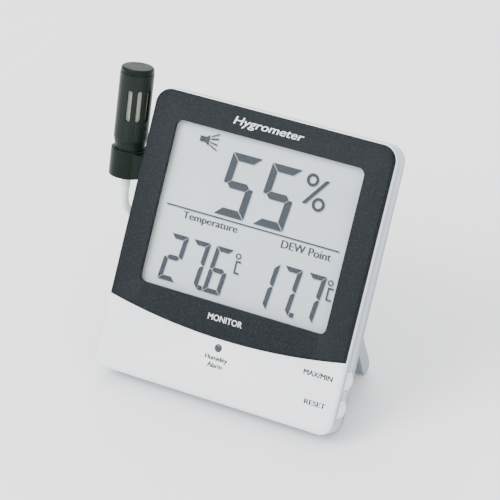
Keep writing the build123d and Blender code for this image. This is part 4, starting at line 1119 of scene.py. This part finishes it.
# ---- the studio ----
@dataclass
class Studio:
    """Camera, plain soft light and a pale floor."""

    housing: HousingFrame

    def camera(self) -> None:
        """Places the camera by the direction it looks from, at a point on the housing's face."""
        aim = self.housing.point(*CAMERA_AIM)
        level = math.cos(CAMERA_ELEVATION)
        away = Vector((
            level * math.sin(CAMERA_AZIMUTH),
            -level * math.cos(CAMERA_AZIMUTH),
            math.sin(CAMERA_ELEVATION),
        ))
        data = bpy.data.cameras.new("camera")
        data.lens = CAMERA_LENS
        camera = bpy.data.objects.new("camera", data)
        turn = (-away).to_track_quat("-Z", "Y").to_matrix().to_4x4() @ Matrix.Rotation(CAMERA_ROLL, 4, "Z")
        camera.matrix_world = Matrix.Translation(aim + away * CAMERA_DISTANCE * MM) @ turn
        bpy.context.scene.collection.objects.link(camera)
        bpy.context.scene.camera = camera

    def softbox(self, name: str, place: tuple, size: float, power: float) -> None:
        """One square soft light that points at the housing.

        Args:
            name: the light's name.
            place: where it hangs, in metres.
            size: its side in metres.
            power: its power in watts.
        """
        light = bpy.data.lights.new(name, "AREA")
        light.size = size
        light.energy = power
        lamp = bpy.data.objects.new(name, light)
        aim = self.housing.point(*CAMERA_AIM)
        away = Vector(place) - aim
        lamp.matrix_world = Matrix.Translation(place) @ away.to_track_quat("Z", "Y").to_matrix().to_4x4()
        bpy.context.scene.collection.objects.link(lamp)

    def floor(self, paint: Paint) -> None:
        """A pale floor that curves up far behind.

        Args:
            paint: where its finish comes from.
        """
        steps = np.linspace(0.0, 1.0, 24)
        run = np.concatenate((np.linspace(-2.0, 1.2, 8), 1.2 + 0.8 * np.sin(steps[1:] * math.pi / 2), [2.0]))
        rise = np.concatenate((np.zeros(8), 0.8 - 0.8 * np.cos(steps[1:] * math.pi / 2), [2.6]))
        points = np.array([(x, y, z) for y, z in zip(run, rise) for x in (-3.0, 3.0)])
        faces = [(2 * k, 2 * k + 1, 2 * k + 3, 2 * k + 2) for k in range(len(run) - 1)]
        floor = mesh_piece("floor", points, faces, Matrix.Identity(4))
        floor.data.materials.append(paint.material("floor_paper"))

    def world(self) -> None:
        """An even, nearly white surround."""
        world = bpy.data.worlds.new("surround")
        world.use_nodes = True
        sky = world.node_tree.nodes["Background"]
        sky.inputs["Color"].default_value = (0.95, 0.97, 1.0, 1.0)
        sky.inputs["Strength"].default_value = 1.8
        bpy.context.scene.world = world

    def light(self, paint: Paint) -> None:
        """Everything but the camera.

        Args:
            paint: where the floor's finish comes from.
        """
        self.world()
        self.floor(paint)
        self.softbox("key", (-0.55, -0.75, 0.95), 0.7, 18.0)
        self.softbox("fill", (0.9, -0.7, 0.5), 0.9, 3.5)
        self.softbox("rim", (-0.3, 0.7, 0.9), 0.6, 7.0)


# ---- the whole ----
class Hygrometer:
    """The dressed CAD pieces and the pieces that are made here."""

    def __init__(self, paint: Paint, housing: HousingFrame):
        """Keeps what every step needs."""
        self.paint = paint
        self.housing = housing

    def dress_nodes(self) -> None:
        """Every carried-over CAD node takes the finish of its slot."""
        for part in frame["record"]["subparts"]:
            self.paint.dress(frame["nodes"][part["node"]], part["material_slot"])

    def settle(self, piece: bpy.types.Object, finish: str, body: str = "housing") -> bpy.types.Object:
        """Gives a made piece its finish and its body.

        Args:
            piece: the made piece.
            finish: its finish's name.
            body: the body that it rides on.

        Returns:
            The same piece.
        """
        piece.data.materials.append(self.paint.material(finish))
        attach(piece, body)
        return piece

    def add_display(self) -> None:
        """The LCD's dark segments and the faint shade that they cast on the layer behind."""
        ink = SegmentDisplay(INK_DEPTH - SEGMENT_THICKNESS, INK_DEPTH).outlines()
        self.settle(ink.piece("lcd_segments", self.housing), "lcd_ink")
        low = LENS_BACK - SHADOW_LIFT
        shade = SegmentDisplay(low, low + SHADOW_THICKNESS).outlines()
        cast = shade.piece("lcd_segment_shade", self.housing, SHADOW_OFFSET)
        self.settle(cast, "lcd_shade")

    def add_words(self) -> None:
        """Every printed word."""
        for word in WORDS:
            self.settle(word.piece(self.housing), word.finish)


def main() -> None:
    """Builds the scene."""
    logging.basicConfig(level=logging.INFO)
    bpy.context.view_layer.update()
    housing = HousingFrame.from_joint(frame["joints"])
    paint = Paint(Effects(housing))
    studio = Studio(housing)
    studio.camera()
    Cable(housing).piece(paint)
    hygrometer = Hygrometer(paint, housing)
    hygrometer.dress_nodes()
    hygrometer.add_display()
    hygrometer.add_words()
    studio.light(paint)


if __name__ == "__main__":
    main()
